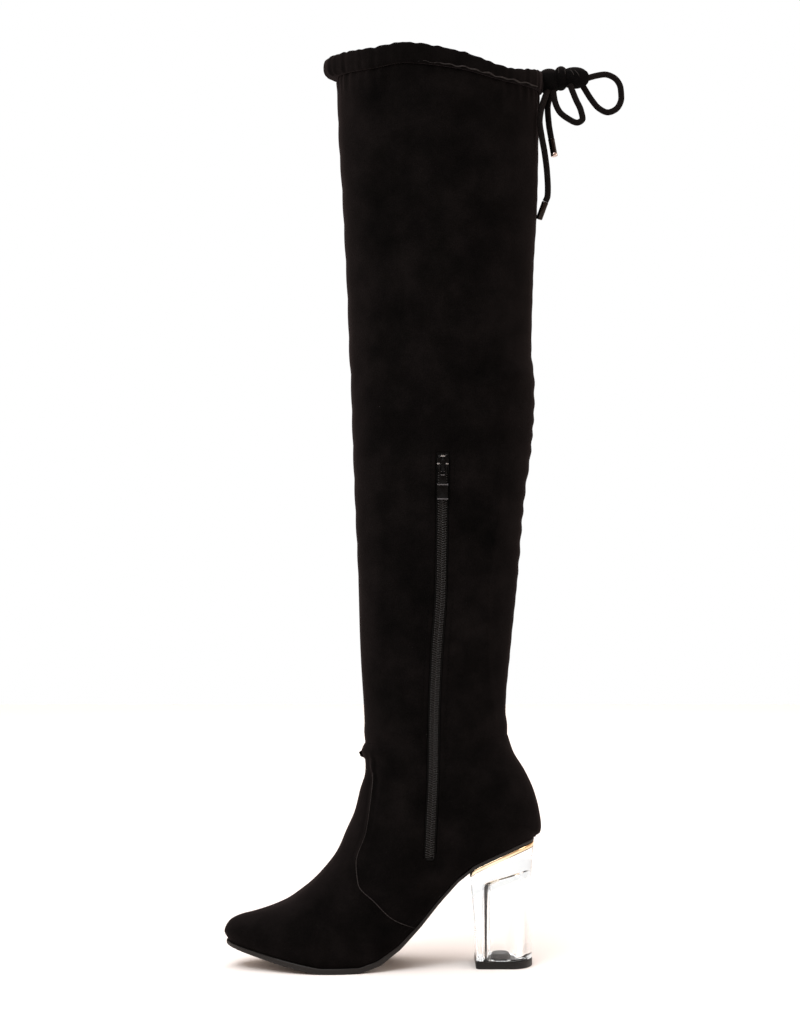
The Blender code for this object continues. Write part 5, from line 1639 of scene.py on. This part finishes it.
# %% [markdown]
# ## Tape, insole and small fastenings
#
# The tape is woven polyester, a fine herringbone in black. The CAD's tape and insole have the right
# shape, so they stay and only get their finish. The zip ends at a small stop at its foot, and it is sewn
# in with a row of stitches down each side and a short row across below its end.

# %% Tape and insole finishes


def make_weave(name, dark, light, thread):
    """Woven cloth: two crossed sine waves in Object coordinates, a thread apart."""
    made, tree, shader, place = new_material(name)
    scale = 1 / (thread * MM) / 20.0 * 3.1
    waves = [
        node(tree, "ShaderNodeTexWave", {"bands_direction": axis}, Vector=place, Scale=scale, Distortion=0.6)
        for axis in ("X", "Z")
    ]
    weave = node(tree, MATH, TIMES, i0=waves[0].outputs["Fac"], i1=waves[1].outputs["Fac"]).outputs[0]
    colour = node(tree, RAMP, stops=[(0.0, srgb(dark)), (1.0, srgb(light))], i0=weave).outputs["Color"]
    threads = node(tree, BUMP, Strength=0.4, Distance=0.2 * MM, Height=weave).outputs[0]
    plug(tree, shader, Base_Color=colour, Normal=threads, Roughness=0.85, Specular_IOR_Level=0.08)
    return made


tape_weave = make_weave("woven polyester tape", "050505", "0b0a0a", 0.5)
sock_cloth = make_weave("insole sock cloth", "17120f", "2a221d", 0.9)
for node_name, finish in (("zip_tape", tape_weave), ("insole", sock_cloth)):
    data = frame["nodes"][node_name].data
    data.materials.clear()
    data.materials.append(finish)
    print(node_name, "is finished as", finish.name)

# %% [markdown]
# ## Stitches
#
# A lockstitch shows as short grains of thread in a row, each sunk at both ends. A dashed line in a bump
# would look flat from the side, so each grain is a small closed shape of a few dozen faces. The rows
# follow the zip at a fixed distance, and a short row crosses below its end.

# %% Stitches
STITCH_LENGTH, STITCH_PITCH, STITCH_THREAD = 2.3, 3.1, 0.45


def stitches(centres, ahead, outward):
    """Small closed grains of thread: five rings of six points round each stitch's own line."""
    along = np.array([-0.5, -0.36, 0.0, 0.36, 0.5]) * STITCH_LENGTH
    radius = np.array([0.25, 0.85, 1.0, 0.85, 0.25]) * STITCH_THREAD / 2
    sag = np.array([-0.22, -0.05, 0.08, -0.05, -0.22])
    t = np.linspace(0, 2 * math.pi, 6, endpoint=False)
    side = np.cross(ahead, outward)
    shapes = []
    for centre, a, s, o in zip(centres, ahead, side, outward):
        ring = s * np.cos(t)[None, :, None] + o * np.sin(t)[None, :, None]
        line = centre + a * along[:, None, None] + o * sag[:, None, None]
        shapes.append(loft(line + ring * radius[:, None, None]))
    return join(shapes)


# bonded polyester thread, as black as the velvet, so it only reads as a faint line
thread = speckled(
    "black sewing thread", 2200.0, 1.0, (0.3, "050505"), (0.8, "0a0909"), Roughness=0.8, Specular_IOR_Level=0.03
)[0]
stitch_sets = []
for offset in (-8.6, 8.6):
    height = np.arange(ZIP_END - 2.0, ZIP_TOP + 1.0, STITCH_PITCH)
    here, across, up, outward = zip_frame(height, offset)
    stitch_sets.append(stitches(here - outward * 0.22, up, outward))
offset = np.arange(-7.0, 7.1, STITCH_PITCH + 0.4)
here, across, up, outward = zip_frame(np.full(len(offset), ZIP_END - 4.0), offset)
stitch_sets.append(stitches(here + outward * 0.02, across, outward))
add_piece("zip_stitches", join(stitch_sets), thread)

stop_loops = plate_loops_of(oblong(2.6, -0.9, 0.9, 3.0, 24), CHAIN_PROUD - 1.0, CHAIN_PROUD + 0.35, 0.25)
stop_here, stop_across, stop_up, stop_out = [part[0] for part in zip_frame(np.array([ZIP_END + 1.2]))]
stop_points = stop_here + stop_loops[..., :1] * stop_across + stop_loops[..., 1:2] * stop_out
stop_points = stop_points + stop_loops[..., 2:] * stop_up
add_piece("zip_bottom_stop", loft(stop_points), gunmetal)

# %% [markdown]
# ## Floor, light and surroundings
#
# The photo is a studio shot on white. The floor is plain and pale, a broad soft light stands above and
# in front, and weaker ones fill from both sides. The surroundings are white to the eye and through the
# clear heel, and dimmer and slightly warm as a light, which leaves a soft warm shadow under the arch.

# %% Floor
FLOOR_REACH = 2.4
corners = [(FLOOR_REACH * x, FLOOR_REACH * y, 0) for x, y in ((-1, -1), (1, -1), (1, 1), (-1, 1))]
floor_mesh = bpy.data.meshes.new("floor")
floor_mesh.from_pydata(corners, [], [(0, 1, 2, 3)])
floor = bpy.data.objects.new("floor", floor_mesh)
bpy.context.scene.collection.objects.link(floor)
floor_paint, floor_tree, floor_shader, _ = new_material("matt white floor")
plug(floor_tree, floor_shader, Base_Color=srgb("f6f3f1"), Roughness=0.9, Specular_IOR_Level=0.1)
floor_mesh.materials.append(floor_paint)
print("the floor is", 2 * FLOOR_REACH, "m wide")

# %% Lights
SUN_STRENGTH, SUN_COLOUR = 1.95, (0.93, 1.0, 1.06)
LIGHTS = (
    # name, place, aim, size, watts, colour
    ("key", (-0.9, -1.6, 1.9), (-0.05, 0.0, 0.3), 1.2, 26.0, "ffffff"),
    ("fill_left", (-1.9, -0.2, 0.9), (-0.05, 0.0, 0.3), 0.9, 9.0, "fff6f0"),
    ("fill_right", (1.8, -0.3, 1.0), (-0.05, 0.0, 0.3), 0.9, 9.0, "fff6f0"),
    ("back", (0.2, 1.6, 1.6), (-0.05, 0.0, 0.3), 1.2, 12.0, "ffffff"),
)
overhead_data = bpy.data.lights.new("overhead", "SUN")
overhead_data.energy = SUN_STRENGTH
overhead_data.color = SUN_COLOUR
overhead_data.angle = math.radians(70)
overhead = bpy.data.objects.new("overhead", overhead_data)
overhead.rotation_euler = (math.radians(12), math.radians(-6), 0)
bpy.context.scene.collection.objects.link(overhead)
for light_name, place, aim, size, watts, colour in LIGHTS:
    light_data = bpy.data.lights.new(light_name, "AREA")
    light_data.size = size
    light_data.energy = watts
    light_data.color = srgb(colour)[:3]
    light = bpy.data.objects.new(light_name, light_data)
    light.location = place
    towards = np.array(aim) - np.array(place)
    flat_reach = math.hypot(towards[0], towards[1])
    light.rotation_euler = (math.atan2(flat_reach, -towards[2]), 0, math.atan2(-towards[0], towards[1]))
    bpy.context.scene.collection.objects.link(light)
print("one overhead light and", len(LIGHTS), "soft ones")

# %% Surroundings
BEHIND_CAMERA, WARM_LIGHT = 0.30, 0.58
world = bpy.data.worlds.new("white studio")
world.use_nodes = True
bpy.context.scene.world = world
sky = world.node_tree
path = node(sky, "ShaderNodeLightPath").outputs
to_camera, through_heel = path["Is Camera Ray"], path["Is Transmission Ray"]
seen = node(sky, MATH, LARGER, i0=to_camera, i1=through_heel).outputs[0]
around = node(sky, "ShaderNodeTexCoord").outputs["Generated"]
depth = node(sky, "ShaderNodeSeparateXYZ", Vector=around).outputs["Y"]
backdrop = node(sky, RANGE, Value=depth, From_Min=-0.35, From_Max=0.15, To_Min=BEHIND_CAMERA, To_Max=1.0)
bent = node(sky, MATH, LARGER, i0=to_camera, i1=backdrop.outputs[0]).outputs[0]
white = node(sky, "ShaderNodeBackground", Color=srgb("ffffff"), Strength=bent).outputs[0]
soft = node(sky, "ShaderNodeBackground", Color=srgb("ffdcc4"), Strength=WARM_LIGHT).outputs[0]
blend = node(sky, "ShaderNodeMixShader", i0=seen, i1=soft, i2=white)
for old in [n for n in sky.nodes if n.type == "OUTPUT_WORLD"]:
    sky.nodes.remove(old)
node(sky, "ShaderNodeOutputWorld", Surface=blend.outputs[0])
bpy.context.scene.view_settings.view_transform = "Standard"
print("the surroundings are", world.name)
